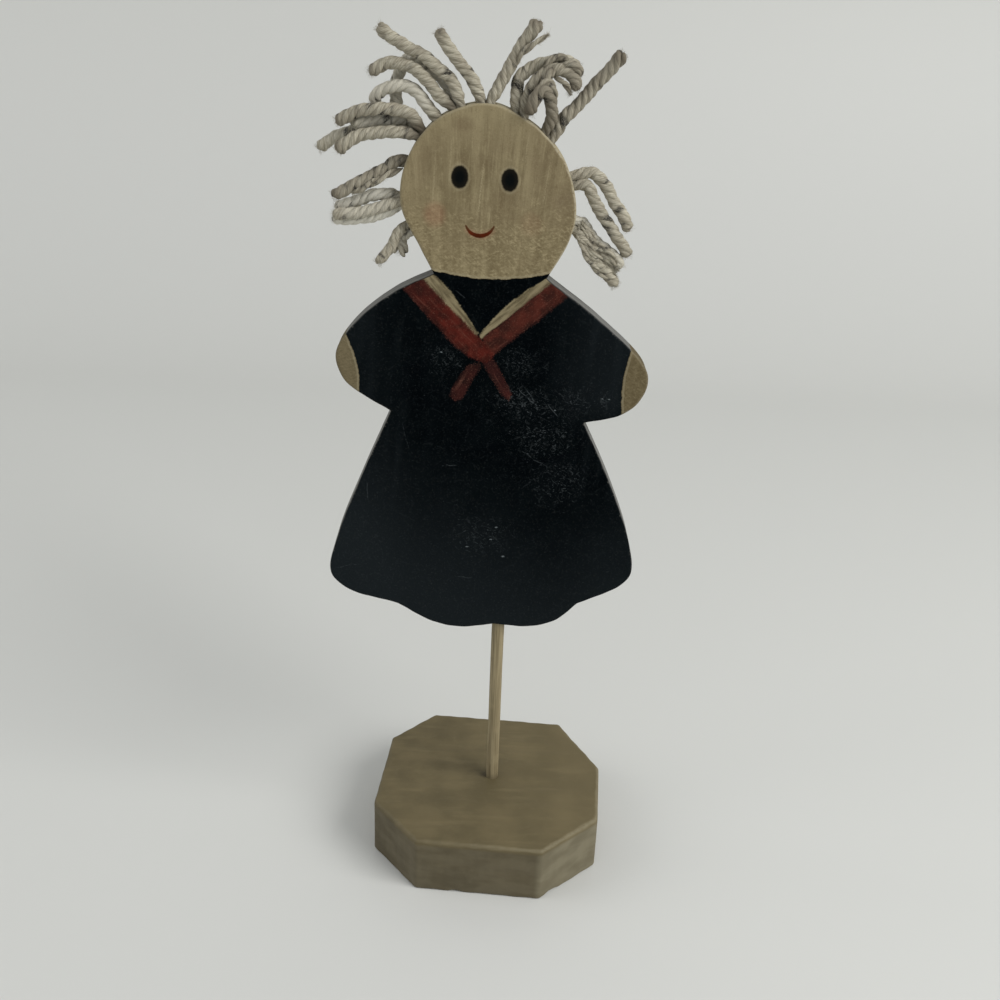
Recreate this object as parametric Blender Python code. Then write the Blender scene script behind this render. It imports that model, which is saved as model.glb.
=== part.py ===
"""Wooden cutout figure: a board sawn to the outline of a girl in a scalloped dress.

The board stands on a dowel in a block with sawn-off corners. Holes drilled round the rim of its
head hold tufts of cotton string for hair. Metres, +Z up, the painted front towards -Y. The origin
is on the underside of the block, at its centre.
"""
import math

import bmesh
import bpy
from mathutils import Matrix, Vector

# Block, seen from the front. The four corners were sawn off by hand, so each cut takes its own
# length across the width and along the depth.
block_width = 0.0889
block_depth = 0.0848
block_height = 0.0233
back_left_across = 0.0161
back_left_along = 0.0199
back_right_across = 0.0178
back_right_along = 0.0292
front_right_across = 0.0209
front_right_along = 0.0221
front_left_across = 0.0198
front_left_along = 0.0211
block_edge_round = 0.0012
block_turn_degrees = -4.8

# Dowel, glued into the block and into the hem of the figure.
dowel_diameter = 0.0048
dowel_showing = 0.0737
dowel_in_block = 0.015
dowel_in_figure = 0.030
dowel_end_chamfer = 0.0004
dowel_right_of_centre = 0.0006
dowel_behind_centre = 0.0015
glue_gap = 0.0003

# Figure board.
board_thickness = 0.0095
board_edge_round = 0.0008

# Hair: string in holes drilled towards the middle of the head.
string_diameter = 0.0034
tuft_hole_diameter = 0.0064
single_hole_diameter = 0.0042
hair_hole_depth = 0.007
string_gap = 0.0003
string_swell_length = 0.007
string_point_spacing = 2.0 * string_diameter

# Facets: of round holes, the dowel and rounded edges, between the points of a curve, and in a
# quarter of the ring of a string.
hole_sides = 12
dowel_sides = 24
edge_steps = 2
head_steps = 5
dress_steps = 4
route_steps = 12
string_ring_steps = 2
dowel_smooth_degrees = 40

# Outline of the board as (x, z), from the point of the hem where the dowel goes in. It was sawn
# freehand, so the two sides differ. Left and right are as the viewer sees them.
right_neck = (0.0115, 0.1354)
left_neck = (-0.0269, 0.1357)
right_underarm = (0.0274, 0.0839)
left_underarm = (-0.0414, 0.0859)
right_cusp = (0.0296, 0.0107)
left_cusp = (-0.0387, 0.0083)
hem_notch = (-0.0020, 0.0006)
head_centre = (-0.0095, 0.1610)

head_curve = [
    right_neck, (0.0180, 0.1477), (0.0200, 0.1585), (0.0151, 0.1744), (0.0042, 0.1854),
    (-0.0107, 0.1912), (-0.0261, 0.1861), (-0.0359, 0.1736), (-0.0382, 0.1585),
    (-0.0316, 0.1444), left_neck,
]
left_arm_curve = [
    left_neck, (-0.0403, 0.1289), (-0.0543, 0.1171), (-0.0605, 0.1063), (-0.0578, 0.0971),
    (-0.0507, 0.0913), left_underarm,
]
left_skirt_curve = [
    left_underarm, (-0.0523, 0.0597), (-0.0612, 0.0358), (-0.0638, 0.0205), (-0.0570, 0.0136),
    left_cusp,
]
hem_left_curve = [left_cusp, (-0.0262, 0.0013), (-0.0146, -0.0011), hem_notch]
hem_right_curve = [hem_notch, (0.0114, 0.0000), (0.0219, 0.0033), right_cusp]
right_skirt_curve = [
    right_cusp, (0.0449, 0.0186), (0.0490, 0.0243), (0.0470, 0.0381), (0.0384, 0.0610),
    right_underarm,
]
right_arm_curve = [
    right_underarm, (0.0402, 0.0873), (0.0461, 0.0921), (0.0489, 0.0996), (0.0472, 0.1056),
    (0.0309, 0.1211), right_neck,
]
dress_curves = [
    left_arm_curve, left_skirt_curve, hem_left_curve, hem_right_curve, right_skirt_curve,
    right_arm_curve,
]

# Hair tufts: the angle of each hole round the head, anticlockwise from the viewer's right, where
# in the hole the first strand sits, and the free route of each strand outside its hole. A route
# point is (x, y, z) from the same point of the hem, on the middle plane of the board.
tufts = {
    "crown": (93, 0, {
        "left": [(-.0146, -.0005, .1963), (-.0179, -.0010, .2008), (-.0214, -.0015, .2047),
                 (-.0242, -.0020, .2085), (-.0270, -.0030, .2125)],
        "right": [(-.0073, .0005, .1953), (-.0051, .0010, .1997), (-.0027, .0010, .2040),
                  (-.0005, .0005, .2085), (.0022, .0000, .2123), (.0048, -.0010, .2163)],
    }),
    "top_left": (111, 90, {
        "fold": [(-.0245, .0035, .1965), (-.0285, .0040, .2000), (-.0325, .0045, .2025),
                 (-.0365, .0050, .2030), (-.0390, .0055, .1995), (-.0405, .0050, .1935),
                 (-.0405, .0040, .1880)],
        "long": [(-.0216, -.0010, .1965), (-.0257, -.0010, .2005), (-.0305, -.0010, .2039),
                 (-.0361, -.0005, .2066), (-.0410, .0000, .2095), (-.0462, .0010, .2128)],
        "hook": [(-.0271, -.0010, .1937), (-.0304, -.0010, .1974), (-.0339, -.0010, .2003),
                 (-.0376, -.0005, .2019), (-.0413, .0000, .2021), (-.0450, .0005, .2008),
                 (-.0488, .0010, .1987)],
    }),
    "upper_left": (125, 0, {
        "curl": [(-.0310, .0000, .1905), (-.0335, .0000, .1935), (-.0370, .0000, .1950),
                 (-.0405, .0000, .1950), (-.0440, .0010, .1940), (-.0465, .0020, .1915),
                 (-.0475, .0030, .1885)],
    }),
    "left": (139, 45, {
        "back": [(-.0364, .0035, .1814), (-.0401, .0050, .1816), (-.0451, .0060, .1813),
                 (-.0514, .0060, .1805), (-.0580, .0055, .1789), (-.0619, .0050, .1769),
                 (-.0661, .0040, .1737)],
        "inner": [(-.0360, .0025, .1850), (-.0395, .0022, .1848), (-.0440, .0022, .1845),
                  (-.0490, .0020, .1837), (-.0550, .0015, .1825)],
        "upper": [(-.0354, -.0016, .1867), (-.0405, -.0018, .1878), (-.0460, -.0018, .1881),
                  (-.0516, -.0010, .1871), (-.0558, -.0005, .1854), (-.0597, .0000, .1830)],
        "lower": [(-.0370, -.0015, .1808), (-.0415, -.0018, .1809), (-.0470, -.0018, .1806),
                  (-.0519, -.0015, .1793), (-.0561, -.0020, .1771), (-.0590, -.0025, .1741)],
    }),
    "temple": (158.5, 0, {
        "single": [(-.0409, .0000, .1712), (-.0436, .0000, .1689), (-.0475, -.0005, .1667),
                   (-.0521, -.0010, .1645), (-.0556, -.0015, .1627), (-.0609, -.0025, .1596)],
    }),
    "ear": (184.5, -90, {
        "middle": [(-.0425, -.0012, .1575), (-.0475, -.0015, .1560), (-.0520, -.0015, .1547),
                   (-.0610, -.0012, .1533)],
        "lower": [(-.0431, .0010, .1548), (-.0481, .0012, .1530), (-.0525, .0014, .1521),
                  (-.0576, .0024, .1516), (-.0619, .0036, .1516)],
        "upper": [(-.0425, .0012, .1608), (-.0480, .0015, .1598), (-.0525, .0020, .1580),
                  (-.0570, .0024, .1565), (-.0610, .0028, .1553)],
    }),
    "jaw": (203, 0, {
        "stub": [(-.0381, .0020, .1460), (-.0381, .0027, .1433), (-.0389, .0034, .1403)],
        "long": [(-.0399, -.0012, .1472), (-.0415, -.0015, .1440), (-.0438, -.0020, .1407),
                 (-.0462, -.0025, .1378)],
    }),
    "right_upper": (13, 0, {
        "outer": [(.0243, .0005, .1701), (.0276, .0005, .1681), (.0300, .0005, .1654),
                  (.0324, .0005, .1616), (.0350, .0000, .1580), (.0387, -.0005, .1517)],
        "inner": [(.0232, -.0006, .1662), (.0248, -.0010, .1639), (.0264, -.0012, .1608),
                  (.0282, -.0012, .1580), (.0307, -.0010, .1544), (.0334, -.0005, .1505),
                  (.0366, .0000, .1470), (.0390, .0010, .1426)],
    }),
    "right_lower": (-15, 0, {
        "short": [(.0231, .0014, .1532), (.0255, .0017, .1494), (.0288, .0014, .1462),
                  (.0323, .0008, .1440), (.0351, .0000, .1417), (.0362, -.0014, .1390)],
        "long": [(.0235, -.0010, .1484), (.0254, -.0012, .1440), (.0290, -.0012, .1398),
                 (.0329, -.0008, .1361), (.0358, .0000, .1327)],
    }),
    "top_right": (47, 0, {
        "knot": [(.0105, -.0018, .1880), (.0102, -.0030, .1911), (.0093, -.0043, .1936),
                 (.0071, -.0054, .1960), (.0050, -.0056, .1939), (.0028, -.0054, .1882)],
        "long": [(.0152, .0005, .1879), (.0181, .0007, .1907), (.0211, .0007, .1940),
                 (.0236, .0006, .1975), (.0262, .0000, .2004), (.0291, -.0005, .2038),
                 (.0326, -.0010, .2076)],
    }),
    "tangle": (71, 0, {
        "over": [(-.0013, .0012, .1957), (-.0008, .0020, .1986), (.0016, .0025, .2009),
                 (.0049, .0030, .2025), (.0084, .0030, .2036), (.0119, .0025, .2045),
                 (.0154, .0020, .2039), (.0184, .0015, .2022)],
        "hanging": [(.0021, -.0010, .1930), (.0035, -.0015, .1962), (.0056, -.0017, .1993),
                    (.0087, -.0017, .2015), (.0125, -.0017, .2020), (.0157, -.0016, .2006),
                    (.0173, -.0015, .1982), (.0172, -.0012, .1956)],
    }),
}

# Finishes: linear colour of the paint, wood and string, and roughness.
dress_paint = ((0.006, 0.008, 0.012, 1.0), 0.45)
block_wood = ((0.135, 0.107, 0.052, 1.0), 0.70)
dowel_wood = ((0.200, 0.165, 0.090, 1.0), 0.65)
cotton_string = ((0.38, 0.36, 0.29, 1.0), 0.90)

dowel_spot = Vector((dowel_right_of_centre, dowel_behind_centre, 0.0))
hem_point = dowel_spot + Vector((0.0, 0.0, block_height + dowel_showing))


def clear_scene():
    for old in list(bpy.data.objects):
        bpy.data.objects.remove(old, do_unlink=True)


def make_material(name, finish):
    colour, roughness = finish
    material = bpy.data.materials.new(name)
    material.use_nodes = True
    shader = material.node_tree.nodes["Principled BSDF"]
    shader.inputs["Base Color"].default_value = colour
    shader.inputs["Roughness"].default_value = roughness
    shader.inputs["Metallic"].default_value = 0.0
    return material


def add_object(name, data, material=None):
    obj = bpy.data.objects.new(name, data)
    bpy.context.scene.collection.objects.link(obj)
    if material:
        data.materials.append(material)
    return obj


def mesh_from_bmesh(name, shape):
    bmesh.ops.recalc_face_normals(shape, faces=shape.faces)
    mesh = bpy.data.meshes.new(name)
    shape.to_mesh(mesh)
    shape.free()
    return mesh


def smooth_points(points, steps):
    """Points on a centripetal Catmull-Rom curve through the given ones, ends included."""
    knots = [points[0] * 2 - points[1], *points, points[-1] * 2 - points[-2]]
    curve = []
    for p0, p1, p2, p3 in zip(knots, knots[1:], knots[2:], knots[3:]):
        t1 = math.sqrt((p1 - p0).length)
        t2 = t1 + math.sqrt((p2 - p1).length)
        t3 = t2 + math.sqrt((p3 - p2).length)
        for step in range(steps):
            t = t1 + (t2 - t1) * step / steps
            a1 = p0.lerp(p1, t / t1)
            a2 = p1.lerp(p2, (t - t1) / (t2 - t1))
            a3 = p2.lerp(p3, (t - t2) / (t3 - t2))
            b1 = a1.lerp(a2, t / t2)
            b2 = a2.lerp(a3, (t - t1) / (t3 - t1))
            curve.append(b1.lerp(b2, (t - t1) / (t2 - t1)))
    curve.append(points[-1].copy())
    return curve


def board_outline():
    """The whole outline of the board as one closed ring of (x, z) points."""
    ring = smooth_points([Vector(p) for p in head_curve], head_steps)[:-1]
    for curve in dress_curves:
        ring += smooth_points([Vector(p) for p in curve], dress_steps)[:-1]
    return ring


def prism(name, ring, low, high, edge_round):
    """A ring of (x, y) points carried from z = low to z = high, with its two rims rounded."""
    shape = bmesh.new()
    corners = [shape.verts.new((p[0], p[1], low)) for p in ring]
    floor = shape.faces.new(corners)
    lifted = bmesh.ops.extrude_face_region(shape, geom=[floor])["geom"]
    top = [v for v in lifted if isinstance(v, bmesh.types.BMVert)]
    bmesh.ops.translate(shape, verts=top, vec=(0.0, 0.0, high - low))
    bmesh.ops.recalc_face_normals(shape, faces=shape.faces)
    if edge_round > 0.0:
        rims = [e for e in shape.edges if e.verts[0].co.z == e.verts[1].co.z]
        bmesh.ops.bevel(shape, geom=rims, offset=edge_round, offset_type="OFFSET",
                        segments=edge_steps, profile=0.5, affect="EDGES", clamp_overlap=False)
    return mesh_from_bmesh(name, shape)


def cylinder(name, diameter, start, end, sides):
    """A round bar or drill from start to end, in world coordinates."""
    shape = bmesh.new()
    axis = end - start
    place = Matrix.Translation((start + end) / 2) @ axis.to_track_quat("Z", "Y").to_matrix().to_4x4()
    bmesh.ops.create_cone(shape, cap_ends=True, segments=sides, radius1=diameter / 2,
                          radius2=diameter / 2, depth=axis.length, matrix=place)
    return mesh_from_bmesh(name, shape)


def drill(target, name, diameter, start, end):
    """Cut a round hole into target with a hidden drill that stays as a guide."""
    cutter = add_object(name, cylinder(name, diameter, start, end, hole_sides))
    cutter.hide_render = True
    cutter.display_type = "WIRE"
    cut = target.modifiers.new(name, "BOOLEAN")
    cut.operation = "DIFFERENCE"
    cut.solver = "EXACT"
    cut.object = cutter


def make_block():
    half_x = block_width / 2
    half_y = block_depth / 2
    ring = [
        (-half_x + front_left_across, -half_y), (half_x - front_right_across, -half_y),
        (half_x, -half_y + front_right_along), (half_x, half_y - back_right_along),
        (half_x - back_right_across, half_y), (-half_x + back_left_across, half_y),
        (-half_x, half_y - back_left_along), (-half_x, -half_y + front_left_along),
    ]
    mesh = prism("base_block", ring, 0.0, block_height, block_edge_round)
    mesh.transform(Matrix.Rotation(math.radians(block_turn_degrees), 4, "Z"))
    block = add_object("base_block", mesh, make_material("block_wood", block_wood))
    foot = dowel_spot + Vector((0.0, 0.0, block_height - dowel_in_block - glue_gap))
    mouth = dowel_spot + Vector((0.0, 0.0, block_height + block_edge_round))
    drill(block, "block_dowel_drill", dowel_diameter + 2 * glue_gap, foot, mouth)
    return block


def make_dowel():
    start = dowel_spot + Vector((0.0, 0.0, block_height - dowel_in_block))
    end = hem_point + Vector((0.0, 0.0, dowel_in_figure))
    mesh = cylinder("dowel", dowel_diameter, start, end, dowel_sides)
    shape = bmesh.new()
    shape.from_mesh(mesh)
    rims = [e for e in shape.edges if abs(e.verts[0].co.z - e.verts[1].co.z) < dowel_end_chamfer]
    bmesh.ops.bevel(shape, geom=rims, offset=dowel_end_chamfer, segments=1, affect="EDGES")
    shape.to_mesh(mesh)
    shape.free()
    mesh.shade_smooth()
    mesh.set_sharp_from_angle(angle=math.radians(dowel_smooth_degrees))
    return add_object("dowel", mesh, make_material("dowel_wood", dowel_wood))


def make_figure_board(ring):
    half = board_thickness / 2
    mesh = prism("figure_board", ring, -half, half, board_edge_round)
    stand_up = Matrix.Rotation(math.pi / 2, 4, "X")
    mesh.transform(Matrix.Translation(hem_point) @ stand_up)
    board = add_object("figure_board", mesh, make_material("dress_paint", dress_paint))
    below = hem_point - Vector((0.0, 0.0, board_thickness))
    seat = hem_point + Vector((0.0, 0.0, dowel_in_figure + glue_gap))
    drill(board, "hem_dowel_drill", dowel_diameter + 2 * glue_gap, below, seat)
    return board


def rim_point(ring, angle):
    """Where a ray from the middle of the head at this angle crosses the rim of the board."""
    centre = Vector(head_centre)
    ray = Vector((math.cos(angle), math.sin(angle)))
    across = Vector((-ray.y, ray.x))
    best = 0.0
    for a, b in zip(ring, ring[1:] + ring[:1]):
        side_a = (a - centre).dot(across)
        side_b = (b - centre).dot(across)
        if side_a * side_b < 0.0:
            hit = a.lerp(b, side_a / (side_a - side_b)) - centre
            best = max(best, hit.dot(ray))
    return centre + ray * best, ray


def string_along(name, points, radii, material):
    curve = bpy.data.curves.new(name, "CURVE")
    curve.dimensions = "3D"
    curve.bevel_depth = string_diameter / 2
    curve.bevel_resolution = string_ring_steps
    curve.use_fill_caps = True
    spline = curve.splines.new("POLY")
    spline.points.add(len(points) - 1)
    for place, point, radius in zip(spline.points, points, radii):
        place.co = (point.x, point.y, point.z, 1.0)
        place.radius = radius
    return add_object(name, curve, material)


def even_points(path, spacing):
    """Points along a path at even steps close to the spacing, with how far along each one is."""
    marks = [0.0]
    for a, b in zip(path, path[1:]):
        marks.append(marks[-1] + (b - a).length)
    count = max(2, round(marks[-1] / spacing))
    points = []
    along = []
    i = 0
    for n in range(count + 1):
        goal = marks[-1] * n / count
        while i < len(path) - 2 and marks[i + 1] < goal:
            i += 1
        share = (goal - marks[i]) / (marks[i + 1] - marks[i])
        points.append(path[i].lerp(path[i + 1], share))
        along.append(goal)
    return points, along


def make_tuft(board, ring, tuft_name, tuft, material):
    """Drill one hole in the rim of the head and set its strands side by side in it."""
    degrees, first_slot, strands = tuft
    mouth_flat, ray_flat = rim_point(ring, math.radians(degrees))
    mouth = hem_point + Vector((mouth_flat.x, 0.0, mouth_flat.y))
    ray = Vector((ray_flat.x, 0.0, ray_flat.y))
    along_rim = Vector((-ray_flat.y, 0.0, ray_flat.x))
    to_back = Vector((0.0, 1.0, 0.0))
    count = len(strands)
    hole_diameter = single_hole_diameter if count == 1 else tuft_hole_diameter
    drill(board, "hair_drill_" + tuft_name, hole_diameter, mouth - ray * hair_hole_depth,
          mouth + ray * board_thickness)
    room = hole_diameter / 2 - string_gap
    offset = 0.0
    if count > 1:
        offset = (hole_diameter - string_gap) / (2 + 2 * math.sin(math.pi / count))
    pinch = min(1.0, (room - offset) / (string_diameter / 2))
    for k, (strand_name, route) in enumerate(strands.items()):
        turn = math.radians(first_slot + 360 * k / count)
        slot = along_rim * (offset * math.cos(turn)) + to_back * (offset * math.sin(turn))
        root = [mouth + slot - ray * (hair_hole_depth - string_gap), mouth + slot]
        free = [hem_point + Vector(p) for p in route]
        path = smooth_points(root + free, route_steps)
        points, along = even_points(path, string_point_spacing)
        radii = []
        for distance in along:
            swell = (distance - hair_hole_depth) / string_swell_length
            radii.append(pinch + (1 - pinch) * min(1.0, max(0.0, swell)))
        string_along("hair_" + tuft_name + "_" + strand_name, points, radii, material)


def main():
    clear_scene()
    ring = board_outline()
    make_block()
    make_dowel()
    board = make_figure_board(ring)
    string = make_material("cotton_string", cotton_string)
    for tuft_name, tuft in tufts.items():
        make_tuft(board, ring, tuft_name, tuft, string)


main()
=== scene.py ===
# %% [markdown]
# # A wooden cutout figure with string hair
#
# A flat board, sawn freehand to the outline of a girl in a dress and painted by brush, stands on a
# dowel in a block of wood. Tufts of cotton string are glued into holes round its head. The packed
# model holds every piece at its real size and place, so this lesson only gives each one its looks:
# twisted string, brushed paint and washed wood.

# %% Load the frame
import math

import bpy
import numpy as np
from mathutils import Matrix, Vector


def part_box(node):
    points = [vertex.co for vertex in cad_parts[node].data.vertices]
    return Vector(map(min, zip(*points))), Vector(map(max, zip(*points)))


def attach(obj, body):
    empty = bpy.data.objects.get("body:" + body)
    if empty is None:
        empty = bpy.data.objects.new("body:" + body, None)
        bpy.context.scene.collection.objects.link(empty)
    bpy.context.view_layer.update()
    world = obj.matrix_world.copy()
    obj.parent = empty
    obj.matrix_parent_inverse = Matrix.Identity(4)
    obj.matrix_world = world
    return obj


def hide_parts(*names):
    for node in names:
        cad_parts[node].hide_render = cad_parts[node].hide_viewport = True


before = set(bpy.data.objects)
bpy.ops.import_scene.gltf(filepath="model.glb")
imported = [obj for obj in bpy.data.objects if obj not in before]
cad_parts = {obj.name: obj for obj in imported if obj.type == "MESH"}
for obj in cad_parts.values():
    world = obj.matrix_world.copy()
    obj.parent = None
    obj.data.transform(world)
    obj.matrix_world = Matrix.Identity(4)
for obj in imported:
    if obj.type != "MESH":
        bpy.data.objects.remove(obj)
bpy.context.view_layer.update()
dowel_low, dowel_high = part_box("dowel")
block_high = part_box("base_block")[1]
board_low, board_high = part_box("figure_board")

# %% [markdown]
# ## The camera
#
# The picture looks down on the figure from close by, and leans a little. The place and the three
# angles below line up the corners of the block and the edge of the board with the picture. They are
# turned into one matrix: first the turn about the upright axis, then the dip, then the lean. A camera
# could be aimed with a constraint instead, but that would lose the lean.

# %% Camera
camera_place = (-0.00634, -0.40395, 0.32952)
camera_turn = math.radians(-0.800)
camera_dip = math.radians(24.132)
camera_lean = math.radians(2.346)

camera_data = bpy.data.cameras.new("camera")
camera_data.sensor_width = 36.0
camera_data.lens = 43.2
camera = bpy.data.objects.new("camera", camera_data)
bpy.context.scene.collection.objects.link(camera)
camera.matrix_world = (
    Matrix.Translation(camera_place)
    @ Matrix.Rotation(camera_turn, 4, "Z")
    @ Matrix.Rotation(math.pi / 2 - camera_dip, 4, "X")
    @ Matrix.Rotation(camera_lean, 4, "Z")
)
bpy.context.scene.camera = camera
print("camera at", camera_place, "with a", camera_data.lens, "mm lens")

# %% [markdown]
# ## Meshes from arrays
#
# The pieces could be built from Blender's own shapes and modifiers, but hand work is uneven, and a
# formula can be uneven wherever it needs to be. So every new piece is a grid of points worked out by
# numpy. A tube is a grid whose columns close into a ring, and a fan of triangles closes each of its ends.
# Faces are kept as arrays, one for each number of corners. The volume that they enclose is worked out as
# well: if it comes out negative, the faces point inwards and are turned round.

# %% Mesh helpers
def grid_faces(rows, columns, closed):
    """Four-sided faces of a grid of rows times columns; closed joins the last column to the first."""
    row = np.arange(rows - 1)[:, None] * columns
    column = np.arange(columns if closed else columns - 1)[None, :]
    after = (column + 1) % columns
    corners = [row + column, row + after, row + columns + after, row + columns + column]
    return np.stack(corners, axis=-1).reshape(-1, 4)


def capped_grid(rows, columns):
    """Groups of faces of a closed grid, with one flat face on its first row and one on its last."""
    first = np.arange(columns)[None, ::-1]
    last = np.arange(columns)[None] + (rows - 1) * columns
    return [grid_faces(rows, columns, True), first, last]


def closed_tubes(rings, starts, ends):
    """Points and groups of faces of tubes from rings (tube, step, side), with a fan to each end point."""
    tubes, steps, sides = rings.shape[:3]
    size = steps * sides + 2
    points = np.concatenate([rings.reshape(tubes, -1, 3), starts[:, None], ends[:, None]], axis=1)
    side = np.arange(sides)
    after = (side + 1) % sides
    first = np.stack([after, side, np.full(sides, size - 2)], axis=1)
    rim = (steps - 1) * sides
    last = np.stack([side + rim, after + rim, np.full(sides, size - 1)], axis=1)
    shift = np.arange(tubes)[:, None, None] * size
    quads = (grid_faces(steps, sides, True) + shift).reshape(-1, 4)
    fans = (np.vstack([first, last]) + shift).reshape(-1, 3)
    return points.reshape(-1, 3), [quads, fans]


def enclosed_volume(points, groups):
    """Six times the volume is the sum of the triple products of each face's fan of triangles."""
    total = 0.0
    for group in groups:
        corners = points[group]
        first = np.broadcast_to(corners[:, :1], corners[:, 1:-1].shape)
        total += np.einsum("ijk,ijk->", first, np.cross(corners[:, 1:-1], corners[:, 2:]))
    return total / 6.0


def add_mesh(name, points, groups):
    """A smooth mesh object at the origin."""
    mesh = bpy.data.meshes.new(name)
    mesh.from_pydata(points.tolist(), [], [face for group in groups for face in group.tolist()])
    mesh.shade_smooth()
    made = bpy.data.objects.new(name, mesh)
    bpy.context.scene.collection.objects.link(made)
    return made


def add_piece(name, points, groups, attributes):
    """A mesh object whose faces point outwards, with values stored on its points."""
    points = points.reshape(-1, 3)
    if enclosed_volume(points, groups) < 0.0:
        groups = [group[:, ::-1] for group in groups]
    piece = add_mesh(name, points, groups)
    for key, values in attributes.items():
        layer = piece.data.attributes.new(key, "FLOAT_VECTOR", "POINT")
        layer.data.foreach_set("vector", values.astype(np.float32).ravel())
    return piece


print("a closed grid of 3 by 8 points has", len(grid_faces(3, 8, True)), "faces")

# %% [markdown]
# A few sums turn up in piece after piece: a direction of length one, a soft step from 0 to 1, a value
# part of the way between two limits, and a wave that wanders without a plain rhythm. Hand work is never
# quite even, so nearly every size below wanders a little.

# %% Small sums
def unit(vectors):
    return vectors / np.linalg.norm(vectors, axis=-1, keepdims=True)


def smooth_step(values):
    """0 below 0, 1 above 1, and 3 v v - 2 v v v between."""
    v = np.clip(values, 0.0, 1.0)
    return v * v * (3.0 - 2.0 * v)


def between(limits, share):
    """The value that lies so far on the way from the first limit to the second."""
    return limits[0] + (limits[1] - limits[0]) * share


def wander(distance, wavelengths, rng):
    """A smooth random wave between -1 and 1: the mean of sines with seeded phases."""
    phases = rng.random(len(wavelengths)) * 2.0 * np.pi
    angles = 2.0 * np.pi * np.asarray(distance)[..., None] / np.asarray(wavelengths)
    return np.sin(angles + phases).mean(axis=-1)


print("a soft step a quarter of the way along is", smooth_step(0.25))

# %% [markdown]
# ## Smooth curves
#
# The outline of the board and the route of each string are a few given points. A centripetal
# Catmull-Rom curve goes through all of them without loops or overshoot. It is read at even steps, so
# that a pattern along it has the same scale everywhere.

# %% Curves
curve_steps = 60


def distances(line):
    """How far along a line each of its points lies."""
    return np.concatenate([[0.0], np.cumsum(np.linalg.norm(np.diff(line, axis=0), axis=1))])


def read_along(values, along, marks):
    """Columns of values that are known at some distances along a line, read at other distances."""
    return np.stack([np.interp(marks, along, column) for column in values.T], axis=-1)


def evenly(curve, spacing):
    """The same curve with its points at even steps close to the spacing."""
    along = distances(curve)
    count = max(2, round(along[-1] / spacing)) + 1
    return read_along(curve, along, np.linspace(0.0, along[-1], count))


def smooth_curve(points, spacing):
    """Even points on a centripetal Catmull-Rom curve.

    Each knot's time is the last one's plus the square root of the distance between them. A stretch is
    three straight lines through neighbouring knots, blended in pairs by time, and blended again.
    """
    knots = np.asarray(points, float)
    knots = np.vstack([2 * knots[0] - knots[1], knots, 2 * knots[-1] - knots[-2]])
    gaps = np.sqrt(np.linalg.norm(np.diff(knots, axis=0), axis=1))
    times = np.concatenate([[0.0], np.cumsum(gaps)])
    stretches = len(knots) - 3
    p = [knots[i:stretches + i, None] for i in range(4)]
    t = [times[i:stretches + i, None, None] for i in range(4)]
    now = t[1] + (t[2] - t[1]) * np.linspace(0.0, 1.0, curve_steps, endpoint=False)[None, :, None]

    def blend(a, b, start, end):
        return a + (b - a) * (now - start) / (end - start)

    lines = [blend(p[i], p[i + 1], t[i], t[i + 1]) for i in range(3)]
    pairs = [blend(lines[i], lines[i + 1], t[i], t[i + 2]) for i in range(2)]
    curve = blend(pairs[0], pairs[1], t[1], t[2]).reshape(-1, knots.shape[1])
    return evenly(np.vstack([curve, knots[-2]]), spacing)


bend_length = distances(smooth_curve([(0.0, 0.0), (1.0, 0.0), (1.0, 1.0)], 0.01))[-1]
print("a curve through three corners of a unit square is", round(bend_length, 3), "long")

# %% [markdown]
# ## The outline of the board
#
# The outline is needed before the hair, because the string holes are drilled into it. Its points are
# (x, z) from the point of the hem where the dowel goes in, seen from the front. The sharp places are
# the saw cuts at the neck, under the arms and between the scallops of the hem, so the outline is several
# smooth curves that meet there. It could be a Bezier curve object, but the holes and the edge of the
# board are worked out from its points.

# %% Outline
dowel_in_figure = 0.030
outline_spacing = 0.00045
hem_point = np.array([
    (dowel_low.x + dowel_high.x) / 2,
    (board_low.y + board_high.y) / 2,
    dowel_high.z - dowel_in_figure,
])
board_half = (board_high.y - board_low.y) / 2

right_neck = (0.0115, 0.1354)
left_neck = (-0.0269, 0.1357)
right_underarm = (0.0274, 0.0839)
left_underarm = (-0.0414, 0.0859)
right_cusp = (0.0296, 0.0107)
left_cusp = (-0.0387, 0.0083)
hem_notch = (-0.0020, 0.0006)
head_centre = np.array([-0.0095, 0.1610])

outline_curves = [
    # head
    [right_neck, (0.0180, 0.1477), (0.0200, 0.1585), (0.0151, 0.1744), (0.0042, 0.1854),
     (-0.0107, 0.1912), (-0.0261, 0.1861), (-0.0359, 0.1736), (-0.0382, 0.1585),
     (-0.0316, 0.1444), left_neck],
    # left arm
    [left_neck, (-0.0403, 0.1289), (-0.0543, 0.1171), (-0.0605, 0.1063), (-0.0578, 0.0971),
     (-0.0507, 0.0913), left_underarm],
    # left side of the skirt
    [left_underarm, (-0.0523, 0.0597), (-0.0612, 0.0358), (-0.0638, 0.0205), (-0.0570, 0.0136),
     left_cusp],
    # hem
    [left_cusp, (-0.0262, 0.0013), (-0.0146, -0.0011), hem_notch],
    [hem_notch, (0.0114, 0.0000), (0.0219, 0.0033), right_cusp],
    # right side of the skirt
    [right_cusp, (0.0449, 0.0186), (0.0490, 0.0243), (0.0470, 0.0381), (0.0384, 0.0610),
     right_underarm],
    # right arm
    [right_underarm, (0.0402, 0.0873), (0.0461, 0.0921), (0.0489, 0.0996), (0.0472, 0.1056),
     (0.0309, 0.1211), right_neck],
]
outline = np.vstack([smooth_curve(curve, outline_spacing)[:-1] for curve in outline_curves])
outline_along = distances(outline)
outline_slope = unit(np.roll(outline, -1, axis=0) - np.roll(outline, 1, axis=0))
outline_outward = np.stack([outline_slope[:, 1], -outline_slope[:, 0]], axis=1)
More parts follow.
